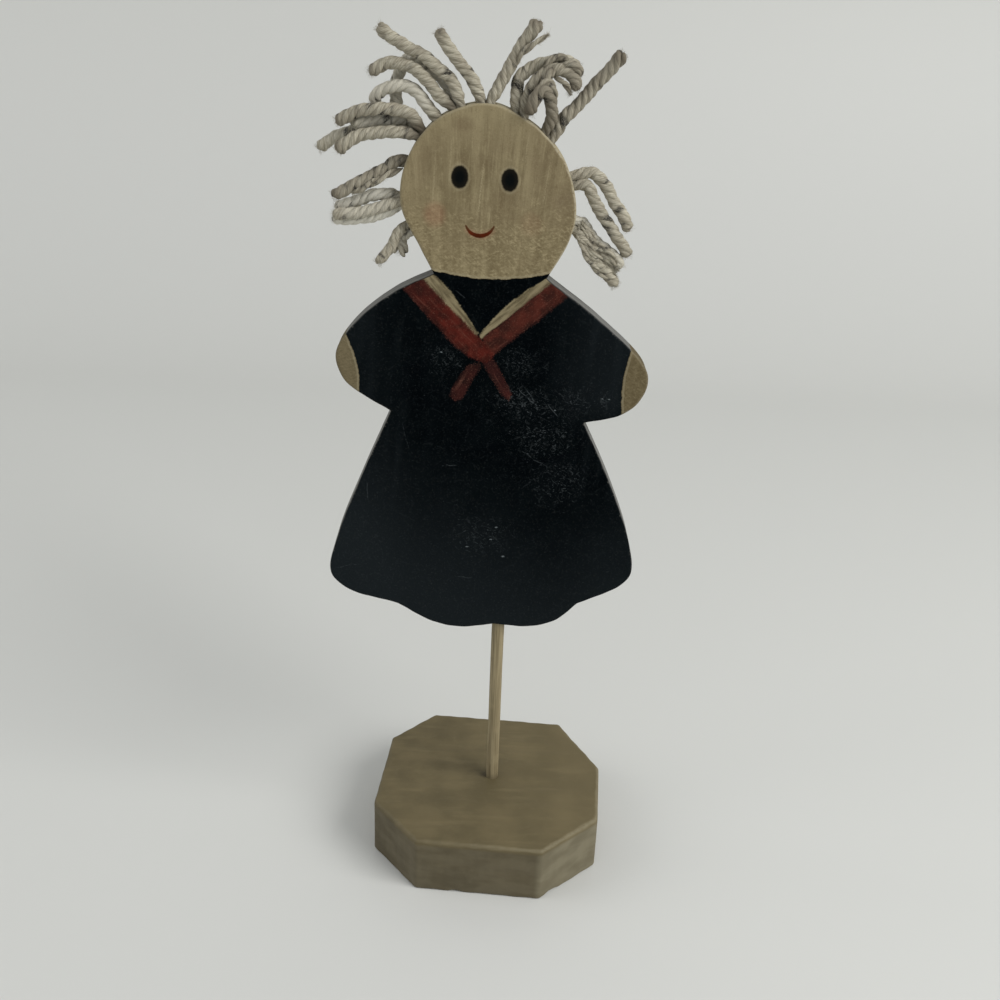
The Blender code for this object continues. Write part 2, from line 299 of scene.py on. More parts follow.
print("outline:", len(outline), "points,", round(outline_along[-1] * 1000), "mm round")


def rim_hit(degrees):
    """Where a ray from the middle of the head crosses the outline: the point, and how far round it is."""
    angle = math.radians(degrees)
    ray = np.array([math.cos(angle), math.sin(angle)])
    aside = (outline - head_centre) @ np.array([-ray[1], ray[0]])
    ahead = (outline - head_centre) @ ray
    next_aside = np.roll(aside, -1)
    crossed = np.flatnonzero((aside * next_aside < 0.0) & (ahead > 0.0))
    share = aside[crossed] / (aside[crossed] - next_aside[crossed])
    reach = ahead[crossed] + (np.roll(ahead, -1)[crossed] - ahead[crossed]) * share
    furthest = reach.argmax()
    return head_centre + ray * reach[furthest], ray, outline_along[crossed[furthest]]


# %% [markdown]
# ## Hair: where the strings go
#
# The hair is a mop string of cotton, cut in short lengths and glued into holes round the head, one to
# four in a hole. Each tuft below has the angle of its hole round the head, the slot of its first
# strand, and the route of every strand outside the hole, as (x, y, z) from the same point of the hem.

# %% String routes
string_diameter = 0.0034
tuft_hole_diameter = 0.0064
single_hole_diameter = 0.0042
hair_hole_depth = 0.007
string_gap = 0.0003
string_swell_length = 0.007

tufts = {
    "crown": (93, 0, {
        "left": [(-.0146, -.0005, .1963), (-.0179, -.0010, .2008), (-.0214, -.0015, .2047),
                 (-.0242, -.0020, .2085), (-.0270, -.0030, .2125)],
        "right": [(-.0073, .0005, .1953), (-.0051, .0010, .1997), (-.0027, .0010, .2040),
                  (-.0005, .0005, .2085), (.0022, .0000, .2123), (.0048, -.0010, .2163)],
    }),
    "top_left": (111, 90, {
        "fold": [(-.0245, .0035, .1965), (-.0285, .0040, .2000), (-.0325, .0045, .2025),
                 (-.0365, .0050, .2030), (-.0390, .0055, .1995), (-.0405, .0050, .1935),
                 (-.0405, .0040, .1880)],
        "long": [(-.0216, -.0010, .1965), (-.0257, -.0010, .2005), (-.0305, -.0010, .2039),
                 (-.0361, -.0005, .2066), (-.0410, .0000, .2095), (-.0462, .0010, .2128)],
        "hook": [(-.0271, -.0010, .1937), (-.0304, -.0010, .1974), (-.0339, -.0010, .2003),
                 (-.0376, -.0005, .2019), (-.0413, .0000, .2021), (-.0450, .0005, .2008),
                 (-.0488, .0010, .1987)],
    }),
    "upper_left": (125, 0, {
        "curl": [(-.0310, .0000, .1905), (-.0335, .0000, .1935), (-.0370, .0000, .1950),
                 (-.0405, .0000, .1950), (-.0440, .0010, .1940), (-.0465, .0020, .1915),
                 (-.0475, .0030, .1885)],
    }),
    "left": (139, 45, {
        "back": [(-.0364, .0035, .1814), (-.0401, .0050, .1816), (-.0451, .0060, .1813),
                 (-.0514, .0060, .1805), (-.0580, .0055, .1789), (-.0619, .0050, .1769),
                 (-.0661, .0040, .1737)],
        "inner": [(-.0360, .0025, .1850), (-.0395, .0022, .1848), (-.0440, .0022, .1845),
                  (-.0490, .0020, .1837), (-.0550, .0015, .1825)],
        "upper": [(-.0354, -.0016, .1867), (-.0405, -.0018, .1878), (-.0460, -.0018, .1881),
                  (-.0516, -.0010, .1871), (-.0558, -.0005, .1854), (-.0597, .0000, .1830)],
        "lower": [(-.0370, -.0015, .1808), (-.0415, -.0018, .1809), (-.0470, -.0018, .1806),
                  (-.0519, -.0015, .1793), (-.0561, -.0020, .1771), (-.0590, -.0025, .1741)],
    }),
    "temple": (158.5, 0, {
        "single": [(-.0409, .0000, .1712), (-.0436, .0000, .1689), (-.0475, -.0005, .1667),
                   (-.0521, -.0010, .1645), (-.0556, -.0015, .1627), (-.0609, -.0025, .1596)],
    }),
    "ear": (184.5, -90, {
        "middle": [(-.0425, -.0012, .1575), (-.0475, -.0015, .1560), (-.0520, -.0015, .1547),
                   (-.0610, -.0012, .1533)],
        "lower": [(-.0431, .0010, .1548), (-.0481, .0012, .1530), (-.0525, .0014, .1521),
                  (-.0576, .0024, .1516), (-.0619, .0036, .1516)],
        "upper": [(-.0425, .0012, .1608), (-.0480, .0015, .1598), (-.0525, .0020, .1580),
                  (-.0570, .0024, .1565), (-.0610, .0028, .1553)],
    }),
    "jaw": (203, 0, {
        "stub": [(-.0381, .0020, .1460), (-.0381, .0027, .1433), (-.0389, .0034, .1403)],
        "long": [(-.0399, -.0012, .1472), (-.0415, -.0015, .1440), (-.0438, -.0020, .1407),
                 (-.0462, -.0025, .1378)],
    }),
    "right_upper": (13, 0, {
        "outer": [(.0243, .0005, .1701), (.0276, .0005, .1681), (.0300, .0005, .1654),
                  (.0324, .0005, .1616), (.0350, .0000, .1580), (.0387, -.0005, .1517)],
        "inner": [(.0232, -.0006, .1662), (.0248, -.0010, .1639), (.0264, -.0012, .1608),
                  (.0282, -.0012, .1580), (.0307, -.0010, .1544), (.0334, -.0005, .1505),
                  (.0366, .0000, .1470), (.0390, .0010, .1426)],
    }),
    "right_lower": (-15, 0, {
        "short": [(.0231, .0014, .1532), (.0255, .0017, .1494), (.0288, .0014, .1462),
                  (.0323, .0008, .1440), (.0351, .0000, .1417), (.0362, -.0014, .1390)],
        "long": [(.0235, -.0010, .1484), (.0254, -.0012, .1440), (.0290, -.0012, .1398),
                 (.0329, -.0008, .1361), (.0358, .0000, .1327)],
    }),
    "top_right": (47, 0, {
        "knot": [(.0105, -.0018, .1880), (.0102, -.0030, .1911), (.0093, -.0043, .1936),
                 (.0071, -.0054, .1960), (.0050, -.0056, .1939), (.0028, -.0054, .1882)],
        "long": [(.0152, .0005, .1879), (.0181, .0007, .1907), (.0211, .0007, .1940),
                 (.0236, .0006, .1975), (.0262, .0000, .2004), (.0291, -.0005, .2038),
                 (.0326, -.0010, .2076)],
    }),
    "tangle": (71, 0, {
        "over": [(-.0013, .0012, .1957), (-.0008, .0020, .1986), (.0016, .0025, .2009),
                 (.0049, .0030, .2025), (.0084, .0030, .2036), (.0119, .0025, .2045),
                 (.0154, .0020, .2039), (.0184, .0015, .2022)],
        "hanging": [(.0021, -.0010, .1930), (.0035, -.0015, .1962), (.0056, -.0017, .1993),
                    (.0087, -.0017, .2015), (.0125, -.0017, .2020), (.0157, -.0016, .2006),
                    (.0173, -.0015, .1982), (.0172, -.0012, .1956)],
    }),
}
print("hair:", len(tufts), "tufts,", sum(len(tuft[2]) for tuft in tufts.values()), "strands")

# %% [markdown]
# ## Hair: along a strand
#
# Mop string is four soft plies twisted together. A smooth tube would look like wire, so each ply is
# modelled. First come the values that change along a strand: the directions square to it, its slow
# waver once it is out of its hole, and how thick it is where it is pinched and where it is free.

# %% Along a strand
ply_step = 0.00035
string_bulk = 1.22
string_waver = 0.00028
waver_waves_across = (0.009, 0.014, 0.023)
waver_waves_over = (0.008, 0.013, 0.026)
root_swell_length = 0.0036


def directions_along(line):
    """Two directions square to a line and to each other. No strand runs along Y, so none vanishes."""
    forward = unit(np.gradient(line, axis=0))
    across = unit(np.cross(forward, (0.0, 1.0, 0.0)))
    return forward, across, np.cross(across, forward)


def wavering(line, rng):
    """The same line, moved square to itself by two slow random waves once it is out of its hole."""
    _, across, over = directions_along(line)
    s = ply_step * np.arange(len(line))
    grown = string_waver * smooth_step((s - hair_hole_depth) / string_swell_length)
    sideways = (grown * wander(s, waver_waves_across, rng))[:, None]
    upwards = (grown * wander(s, waver_waves_over, rng))[:, None]
    return line + across * sideways + over * upwards


def string_size(pinch, bulk):
    """How thick a strand is along its length: pinched in its hole, and swelling once it is out."""

    def size_at(s, length):
        swell = smooth_step((s - hair_hole_depth) / root_swell_length)
        return string_diameter / 2 * string_bulk * bulk * (pinch + (1.0 - pinch) * swell)

    return size_at


print("a free strand is", round(string_diameter * string_bulk * 1000, 2), "mm thick with its fluff")

# %% [markdown]
# ## Hair: twisted plies
#
# A ply is a circle that goes round the centreline as it is carried along it. At the cut end the plies
# loosen and end unevenly, each with a round tip.

# %% Twisted plies
string_plies = 4
ply_sides = 10
ply_angles = np.linspace(0.0, 2.0 * np.pi, ply_sides, endpoint=False)
ply_offset = 0.42
ply_girth = 0.60
lay_length = 0.0125
cut_unevenness = 0.0009
fray_length = 0.0055
fray_spread = (0.4, 1.6)
round_end = 0.0017
fullest_tip = 0.98
size_wander, size_waves = 0.05, (0.006, 0.011, 0.017)
girth_wander, girth_waves = 0.06, (0.003, 0.005, 0.009)
twist_wander, twist_waves = 0.25, (0.012, 0.021)
wave_shift = 0.1


def ply_tubes(line, plies, size_at, fray, rng):
    """The plies of one strand as rings (ply, step, side), with their middles and distances.

    With s the distance along the line, a ply's middle is line(s) + offset * E(turn) and its skin is
    that + girth * E(turn + side), where E(a) = cos(a) * across(s) + sin(a) * over(s) and turn is one
    circle for every lay length of s. Both follow the size of the strand. At the cut, girth closes as a
    quarter circle, and offset closes with it, or grows if the end is frayed.
    """
    _, across, over = directions_along(line)
    along = distances(line)
    length = along[-1]
    ply = np.arange(plies)[:, None]
    cuts = rng.random((plies, 1))
    ends = length - cut_unevenness * (cuts - cuts.min())
    s = ends * np.linspace(0.0, 1.0, round(length / ply_step))
    middle, across, over = [read_along(values, along, s) for values in (line, across, over)]
    size = size_at(s, length) * (1.0 + size_wander * wander(s, size_waves, rng))
    loose = smooth_step((s - length + fray_length) / fray_length)
    tip = np.clip((s - ends + round_end) / round_end, 0.0, fullest_tip)
    closing = np.sqrt(1.0 - tip * tip)
    gather = 1.0 - (1.0 - closing) * min(1.0, max(0.0, 1.0 - fray))
    spread = 1.0 + fray * loose * between(fray_spread, rng.random((plies, 1)))
    offset = ply_offset * size * spread * gather
    girth = ply_girth * size * closing
    girth = girth * (1.0 + girth_wander * wander(s + wave_shift * ply, girth_waves, rng))
    turn = 2.0 * np.pi * (ply / plies + s / lay_length + rng.random())
    turn = turn + twist_wander * wander(s, twist_waves, rng)

    def circle(angles):
        shape = across.shape[:2] + (1,) * (angles.ndim - 2) + (3,)
        cos, sin = np.cos(angles)[..., None], np.sin(angles)[..., None]
        return cos * across.reshape(shape) + sin * over.reshape(shape)

    centre = middle + offset[..., None] * circle(turn)
    rings = centre[:, :, None] + girth[..., None, None] * circle(turn[..., None] + ply_angles)
    return rings, centre, s, loose


print("a ply turns once in", lay_length * 1000, "mm")

# %% [markdown]
# Two vectors are kept on the points for the finish: one that follows the fibres of a ply, so that the
# colour can wind with them, and one that tells outside from crevice, for the painted shade in the
# crevices, marks the dark flecks and holds the soil and painted shade.

# %% Marks on the plies
fibre_lay_length = 0.0070
fibre_stretch = 260.0
fibre_fineness = 1.5
fibre_apart = 10.0
frayed_soil = 0.35


def ply_marks(s, loose, length, flecks, soil_and_shade_at, rng):
    """The two vectors for every ply, step and side.

    The fibre vector is the stretched distance, and a point that goes round once in a fibre's lay length.
    The skin vector is the cosine of the side, the darkest fleck near by, and the soil and painted shade.
    """
    plies = len(s)
    twist = ply_angles - 2.0 * np.pi * s[..., None] / fibre_lay_length
    fibre = np.stack([
        np.broadcast_to(s[..., None] * fibre_stretch, twist.shape),
        fibre_fineness * np.cos(twist),
        fibre_fineness * np.sin(twist),
    ], axis=-1) + fibre_apart * rng.random((plies, 1, 1, 3))
    dark = np.zeros(s.shape)
    for place, reach, which, strength in flecks:
        near = np.exp(-((s - place * length) / reach) ** 2)
        dark = np.maximum(dark, strength * near * (np.arange(plies)[:, None] == which))
    soil_and_shade = frayed_soil * loose + soil_and_shade_at(s)
    skin = np.broadcast_arrays(np.cos(ply_angles), dark[..., None], soil_and_shade[..., None])
    return fibre, np.stack(skin, axis=-1)


def twisted_plies(line, plies, size_at, fray, flecks, soil_and_shade_at, rng):
    """The plies of one strand as closed tubes, and the two vectors on their points."""
    rings, centre, s, loose = ply_tubes(line, plies, size_at, fray, rng)
    points, groups = closed_tubes(rings, centre[:, 0], centre[:, -1])
    marks = ply_marks(s, loose, distances(line)[-1], flecks, soil_and_shade_at, rng)
    on_points = [
        np.concatenate([mark.reshape(plies, -1, 3), mark[:, 0, :1], mark[:, -1, :1]], axis=1).reshape(-1, 3)
        for mark in marks
    ]
    return points, groups, *on_points


print("the fibres turn once in", fibre_lay_length * 1000, "mm, the other way")

# %% [markdown]
# Spun cotton is never smooth. Short fibres stand off its skin all along, lie across the plies, and make
# a soft brush at the cut end. Each one is a thin tapering tube. They break up the clean spirals of the
# plies and blur the outline of the strand.

# %% Loose fibres
fuzz_per_metre = 9500
fuzz_at_end = 150
fuzz_radius = 0.000045
fuzz_taper = 0.7
fuzz_rings = 4
fuzz_sides = 3
fuzz_length = (0.0004, 0.0016)
fuzz_reach = (0.15, 0.80)
fuzz_lean = (-1.7, 1.7)
fuzz_bend = (-1.2, 1.2)
fuzz_root = 0.86
end_lean = (0.3, 0.6)
end_root = 0.85
end_depth = 0.0022


def loose_fibres(line, size_at, start, soil_and_shade_at, rng):
    """Fine bent fibres that stand off a strand, as thin tapering tubes.

    A fibre starts just under the skin, at a random angle, at a random distance from start to the end,
    and more often near the end. With t from 0 to 1 along it, it runs out by reach * t, along the strand
    by lean * t and sideways by bend * t * t.
    """
    along = distances(line)
    length = along[-1]
    spread_out = int((length - start) * fuzz_per_metre)
    count = spread_out + fuzz_at_end
    s = np.concatenate([start + (length - start) * rng.random(spread_out),
                        length - end_depth * rng.random(fuzz_at_end)])
    at_end = (np.arange(count) >= spread_out)[:, None]
    angle = 2.0 * np.pi * rng.random(count)[:, None]
    middle = read_along(line, along, s)
    ahead, across, over = [unit(read_along(way, along, s)) for way in directions_along(line)]
    out = np.cos(angle) * across + np.sin(angle) * over
    round_way = np.cross(ahead, out)

    def draw():
        return rng.random((count, 1))

    size = between(fuzz_length, draw() ** 2)
    reach = size * between(fuzz_reach, draw())
    lean = size * np.where(at_end, between(end_lean, draw()), between(fuzz_lean, draw()))
    bend = size * between(fuzz_bend, draw())
    depth = np.where(at_end, np.sqrt(draw()) * end_root, fuzz_root)
    t = np.linspace(0.0, 1.0, fuzz_rings + 1)[None, :, None]
    root = middle + out * size_at(s, length)[:, None] * depth
    path = (root[:, None] + (out * reach)[:, None] * t + (ahead * lean)[:, None] * t
            + (round_way * bend)[:, None] * t * t)
    side = np.linspace(0.0, 2.0 * np.pi, fuzz_sides, endpoint=False)
    circle = np.cos(side)[:, None] * ahead[:, None] + np.sin(side)[:, None] * round_way[:, None]
    radius = fuzz_radius * (1.0 - fuzz_taper * t[:, :-1, :, None])
    rings = path[:, :-1, None] + radius * circle[:, None]
    points, groups = closed_tubes(rings, path[:, 0], path[:, -1])
    soil_and_shade = np.repeat(soil_and_shade_at(s), len(points) // count)
    skin = np.stack([np.ones(len(points)), np.zeros(len(points)), soil_and_shade], axis=1)
    return points, groups, np.zeros_like(points), skin


print("loose fibres:", fuzz_per_metre / 1000, "to a millimetre, and", fuzz_at_end, "more at the end")

# %% [markdown]
# ## Hair: all the strands
#
# Each strand is drilled into the rim the same way as in the packed model: the strands of a tuft lie
# side by side in their hole, and the route runs on from there. A strand replaces its plain tube. Two
# stubs at the jaw are shorter than a declared cord may be, and ride along undeclared. Some dark flecks
# are listed one by one, as shares of the strand's length, and the rest are random. Some strands are
# painted darker than the usual string and some paler: partly the soil of handling, partly painted shade
# and painted light. The roots next to the board are painted darker, as shade. A value above 0 darkens a
# strand, and one below 0 makes it paler.

# %% Strand details
fray_of = {
    "crown_right": 0.5, "top_left_long": 0.35, "jaw_stub": 1.4, "top_right_long": 0.55,
    "ear_lower": -0.3, "left_lower": 0.4,
}
usual_fray = 0.0
bulk_of = {"jaw_long": 0.86, "jaw_stub": 0.9, "top_right_long": 1.04}
flecks_of = {
    "crown_left": [(0.45, 0.0012, 0, 1.0), (0.50, 0.0010, 1, 0.8)],
    "top_left_long": [(0.40, 0.0012, 1, 1.0), (0.55, 0.0010, 2, 0.9), (0.68, 0.0008, 0, 0.7)],
    "top_left_hook": [(0.45, 0.0016, 2, 0.8)],
    "left_inner": [(0.55, 0.0018, 0, 1.0), (0.62, 0.0015, 1, 0.9)],
    "left_upper": [(0.52, 0.0015, 2, 1.0), (0.60, 0.0024, 0, 0.7), (0.66, 0.0022, 1, 0.7),
                   (0.75, 0.0010, 3, 0.8), (0.84, 0.0020, 2, 0.6)],
    "left_back": [(0.70, 0.0016, 0, 1.0), (0.74, 0.0012, 3, 0.8)],
    "temple_single": [(0.36, 0.0010, 0, 1.0), (0.42, 0.0009, 1, 1.0), (0.50, 0.0012, 2, 1.0),
                      (0.58, 0.0012, 3, 1.0), (0.66, 0.0010, 0, 0.9), (0.76, 0.0008, 1, 0.8)],
    "right_upper_inner": [(0.61, 0.0020, 0, 1.0), (0.64, 0.0022, 1, 1.0), (0.66, 0.0018, 2, 0.9)],
    "right_upper_outer": [(0.78, 0.0010, 2, 0.9)],
    "right_lower_long": [(0.62, 0.0010, 1, 1.0), (0.64, 0.0010, 2, 0.8)],
    "right_lower_short": [(0.50, 0.0012, 3, 0.9)],
    "top_right_long": [(0.27, 0.0022, 0, 1.0), (0.30, 0.0022, 1, 1.0), (0.32, 0.0018, 2, 0.9)],
    "tangle_over": [(0.34, 0.0024, 0, 1.0), (0.37, 0.0024, 1, 1.0), (0.40, 0.0020, 2, 0.9)],
    "tangle_hanging": [(0.40, 0.0014, 0, 0.9)],
    "top_right_knot": [(0.62, 0.0012, 1, 0.9), (0.80, 0.0010, 3, 0.9)],
}
# Painted darker for dirt and for shade above 0; below 0 a strand is painted paler, as lit.
soil_and_shade_of = {
    "top_right_knot": 0.62, "top_right_long": 0.42, "tangle_hanging": 0.40, "temple_single": 0.40,
    "crown_left": 0.16, "crown_right": 0.21, "top_left_long": 0.10, "top_left_hook": 0.20,
    "top_left_fold": -0.55, "upper_left_curl": -0.50, "left_back": -0.20, "left_inner": -0.45,
    "left_upper": 0.24, "left_lower": 0.22, "ear_middle": -0.25, "ear_lower": -1.00,
    "ear_upper": -0.80, "jaw_stub": -0.40, "right_upper_inner": 0.18, "right_lower_short": -0.60,
}
# Painted shade on the roots, next to the board.
root_shade_of = {
    "left_upper": 0.85, "left_lower": 0.45, "left_inner": 0.85, "left_back": 0.60,
    "upper_left_curl": 0.85, "top_left_hook": 0.55, "top_left_long": 0.30, "temple_single": 0.30,
    "ear_middle": 0.30, "ear_upper": 0.60, "jaw_long": 0.35,
}
root_shade_length = 0.0060
wad_soil_and_shade = 0.35
random_flecks = 5
fleck_place = (0.25, 1.0)
fleck_reach = (0.0004, 0.0010)
fleck_strength = (0.3, 0.8)
print("details:", len(flecks_of), "strands with flecks by eye,", len(soil_and_shade_of), "with dirt and shade of their own")

# %% [markdown]
# A strand is one mesh: its plies, and then its loose fibres from where it leaves the hole. The strands of
# a tuft share the hole evenly. How far each lies from the middle, and how much it is pinched, follow from
# the hole's size and the number of strands.

# %% Strands
string_seed = 11


def strand_piece(name, line, plies, size_at, start, rng):
    """One strand as a single mesh: its plies, then its loose fibres from the start of its free part."""
    flecks = flecks_of.get(name, []) + [
        (between(fleck_place, rng.random()), between(fleck_reach, rng.random()), rng.integers(plies),
         between(fleck_strength, rng.random()))
        for _ in range(random_flecks)
    ]
    soil_and_shade = soil_and_shade_of.get(name, wad_soil_and_shade if "wad" in name else 0.0)
    root_shade = root_shade_of.get(name, 0.0)

    def soil_and_shade_at(s):
        return soil_and_shade + root_shade * smooth_step(1.0 - (s - start) / root_shade_length)

    twisted = twisted_plies(line, plies, size_at, fray_of.get(name, usual_fray), flecks, soil_and_shade_at, rng)
    fuzz = loose_fibres(line, size_at, start, soil_and_shade_at, rng)
    groups = twisted[1] + [group + len(twisted[0]) for group in fuzz[1]]
    points, fibre, skin = [np.vstack([twisted[i], fuzz[i]]) for i in (0, 2, 3)]
    piece = add_piece("string_" + name, points, groups, {"fibre": fibre, "skin": skin})
    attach(piece, "root")
    return piece


strings = {}
holes = []
rng = np.random.default_rng(string_seed)
for tuft_name, (degrees, first_slot, routes) in tufts.items():
    flat_mouth, flat_ray, round_to = rim_hit(degrees)
    mouth = hem_point + np.array([flat_mouth[0], 0.0, flat_mouth[1]])
    ray = np.array([flat_ray[0], 0.0, flat_ray[1]])
    along_rim = np.array([-flat_ray[1], 0.0, flat_ray[0]])
    count = len(routes)
    hole = single_hole_diameter if count == 1 else tuft_hole_diameter
    holes.append((round_to, hole / 2))
    aside = 0.0 if count == 1 else (hole - string_gap) / (2 + 2 * math.sin(math.pi / count))
    pinch = min(1.0, (hole / 2 - string_gap - aside) / (string_diameter / 2))
    for k, (strand_name, route) in enumerate(routes.items()):
        slot_turn = math.radians(first_slot + 360 * k / count)
        slot = aside * (math.cos(slot_turn) * along_rim + math.sin(slot_turn) * np.array([0, 1, 0]))
        root = [mouth + slot - ray * (hair_hole_depth - string_gap), mouth + slot]
        line = smooth_curve(root + [hem_point + np.array(p) for p in route], ply_step)
        line = wavering(line, rng)
        name = tuft_name + "_" + strand_name
        size_at = string_size(pinch, bulk_of.get(name, 1.0))
        piece = strand_piece(name, line, string_plies, size_at, hair_hole_depth, rng)
        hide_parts("hair_" + name)
        strings[name] = piece
print("strings:", len(strings), "pieces,",
      sum(len(piece.data.polygons) for piece in strings.values()), "faces")

# %% [markdown]
# ## Hair: loose plies
#
# Some strands came undone as they were cut and handled. Part of one stands off the crown, another lies
# along the temple, and a wad of loose yarn is caught between the strands above the forehead. These are
# thin strands of two or three plies on routes of their own, thinner at both ends. The lowest tuft on the
# right opened out flat, so its plies fan out between two borders: each keeps its own share of the way
# from the one border to the other. Places are in millimetres from the hem.

# %% Loose plies
loose_strands = {
    "crown": (1.15, 2, [
        (-2.5, 0.5, 202.1), (-1.0, -0.8, 205.1), (1.1, -1.6, 207.5), (3.5, -2.0, 209.4),
        (5.9, -2.3, 211.0), (8.1, -2.4, 212.4)]),
    "temple": (1.35, 2, [
        (-37.7, -0.5, 169.4), (-40.6, -1.0, 168.2), (-44.2, -1.5, 166.4), (-48.1, -2.0, 164.3),
        (-51.7, -2.3, 162.3), (-54.3, -2.5, 160.9)]),
    "wad_rise": (1.7, 3, [
        (4.7, -1.5, 191.9), (6.1, -3.0, 195.2), (7.5, -3.8, 198.3), (9.0, -3.8, 200.9),
        (10.8, -2.5, 203.1)]),
    "wad_top": (1.4, 3, [
        (7.3, -1.5, 202.6), (9.2, -1.0, 204.8), (11.7, -0.5, 205.7), (13.9, -1.5, 205.0),
        (14.2, -3.0, 203.0)]),
    "wad_front": (1.4, 2, [
        (11.3, -3.5, 193.3), (10.6, -4.5, 196.4), (8.7, -5.0, 198.3), (6.9, -5.2, 197.5),
        (6.0, -5.0, 195.4), (7.4, -4.0, 193.2)]),
    "wad_right": (1.5, 3, [
        (12.1, -2.0, 203.2), (14.9, -2.5, 203.9), (17.4, -2.2, 203.2), (18.6, -1.5, 201.3),
        (17.4, -1.0, 199.4)]),
    "wad_hanging": (1.3, 2, [
        (10.2, -2.0, 200.0), (11.8, -2.6, 199.2), (13.6, -2.8, 198.2), (15.2, -2.6, 196.4),
        (16.0, -2.2, 194.4)]),
}
fan_left = [(21.1, -1.0, 152.8), (21.4, -1.6, 149.3), (24.4, -2.2, 144.0), (29.4, -2.0, 138.0),
            (35.3, -1.2, 133.4)]
fan_right = [(22.0, -0.5, 154.8), (24.8, -1.0, 152.0), (27.7, -1.8, 148.1), (32.6, -2.0, 145.3),
             (34.9, -1.6, 140.5)]
fan_plies = 8
fan_radius = 1.05
fan_radius_share = (0.85, 1.15)
fan_unevenness = 0.35
loose_taper = 0.005
thinnest_share = 0.05
taper_power = 0.4


def loose_size(radius):
    """The size of a loose strand: its radius times a root, so that it thins towards both ends."""

    def size_at(s, length):
        nearer_end = np.clip(np.minimum(s, length - s) / loose_taper, thinnest_share, 1.0)
        return radius * nearer_end ** taper_power

    return size_at


for k, share in enumerate(np.linspace(0.0, 1.0, fan_plies)):
    route = between((np.array(fan_left), np.array(fan_right)), share)
    route[1:] += rng.normal(0.0, fan_unevenness, (len(route) - 1, 3))
    loose_strands["fan_" + str(k)] = (fan_radius * between(fan_radius_share, rng.random()), 2, route)

for name, (radius, plies, route) in loose_strands.items():
    line = smooth_curve(hem_point + np.array(route) / 1000.0, ply_step)
    size_at = loose_size(radius / 1000.0)
    strings["loose_" + name] = strand_piece("loose_" + name, line, plies, size_at, 0.0, rng)
print("loose strands:", len(loose_strands))

# %% [markdown]
# ## The figure board
#
# The board was sawn from a thin plank, so its edge shows the ripples of the saw, and its rims are
# rubbed round unevenly. The edge is a grid: one parameter runs round the outline, the other from the
# front face over the rim, across the edge and over the back rim. Pushing the grid inwards inside a
# circle makes a string hole. Flat faces close the front and the back. An extruded outline with a Bevel
# modifier would have even rims, and would need a cut for each hole.

# %% Figure board
rim_round = 0.0008
rim_wander, rim_waves = 0.35, (0.007, 0.019, 0.047)
rim_steps = 6
edge_rows = 25
face_margin = 0.0006
hole_shown = 0.0026
hole_lip = 0.00025
saw_ripple, ripple_waves = 0.00004, (0.0011, 0.0017, 0.0029)
board_seed = 5


def board_surface(rng):
    """The edge of the board as a grid of (row, point round the outline), pushed in by an inset.

    On a rim, with a from 0 to a quarter turn, the inset is r * (1 - sin a) and the depth behind the face
    is r * (1 - cos a). Across the edge the inset is the saw's ripple, and the depth of a string hole
    where a point is nearer than its radius to the hole's middle.
    """
    r = rim_round * (1.0 + rim_wander * wander(outline_along, rim_waves, rng))
    a = np.linspace(0.0, np.pi / 2, rim_steps)[:, None]
    rim_inset = r * (1.0 - np.sin(a))
    rim_depth = r * (1.0 - np.cos(a))
    share = np.linspace(0.0, 1.0, edge_rows + 2)[1:-1, None]
    edge_y = between((r - board_half, board_half - r), share)
    ripple = saw_ripple * (1.0 + wander(outline_along, ripple_waves, rng))
    edge_inset = np.broadcast_to(ripple, edge_y.shape).copy()
    for round_to, radius in holes:
        from_hole = np.hypot(outline_along - round_to, edge_y)
        edge_inset += hole_shown * smooth_step((radius + hole_lip - from_hole) / (2.0 * hole_lip))
    margin = (r + face_margin)[None]
    flat = np.full((1, len(outline)), board_half)
    inset = np.vstack([margin, rim_inset, edge_inset, rim_inset[::-1], margin])
    y = np.vstack([-flat, rim_depth - board_half, edge_y, board_half - rim_depth[::-1], flat])
    x = outline[:, 0] - outline_outward[:, 0] * inset
    z = outline[:, 1] - outline_outward[:, 1] * inset
    return hem_point + np.stack([x, y, z], axis=-1)


board_points = board_surface(np.random.default_rng(board_seed))
figure = add_piece("painted_figure", board_points, capped_grid(*board_points.shape[:2]), {})
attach(figure, "root")
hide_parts("figure_board")
print("figure board:", len(figure.data.polygons), "faces")

# %% [markdown]
# ## The block
#
# The block is a piece of plank with its four corners sawn off, each a little differently. Its outline
# has eight straight sides with a small arc at every corner, read at even steps, with the outward direction
# at each step.

# %% Block outline
block_width = 0.0889
block_depth = 0.0848
block_turn = math.radians(-4.8)
cut_across = {"front_left": 0.0198, "front_right": 0.0209, "back_right": 0.0178, "back_left": 0.0161}
cut_along = {"front_left": 0.0211, "front_right": 0.0221, "back_right": 0.0292, "back_left": 0.0199}
block_corner_round = 0.0022
corner_steps = 9
block_spacing = 0.0005


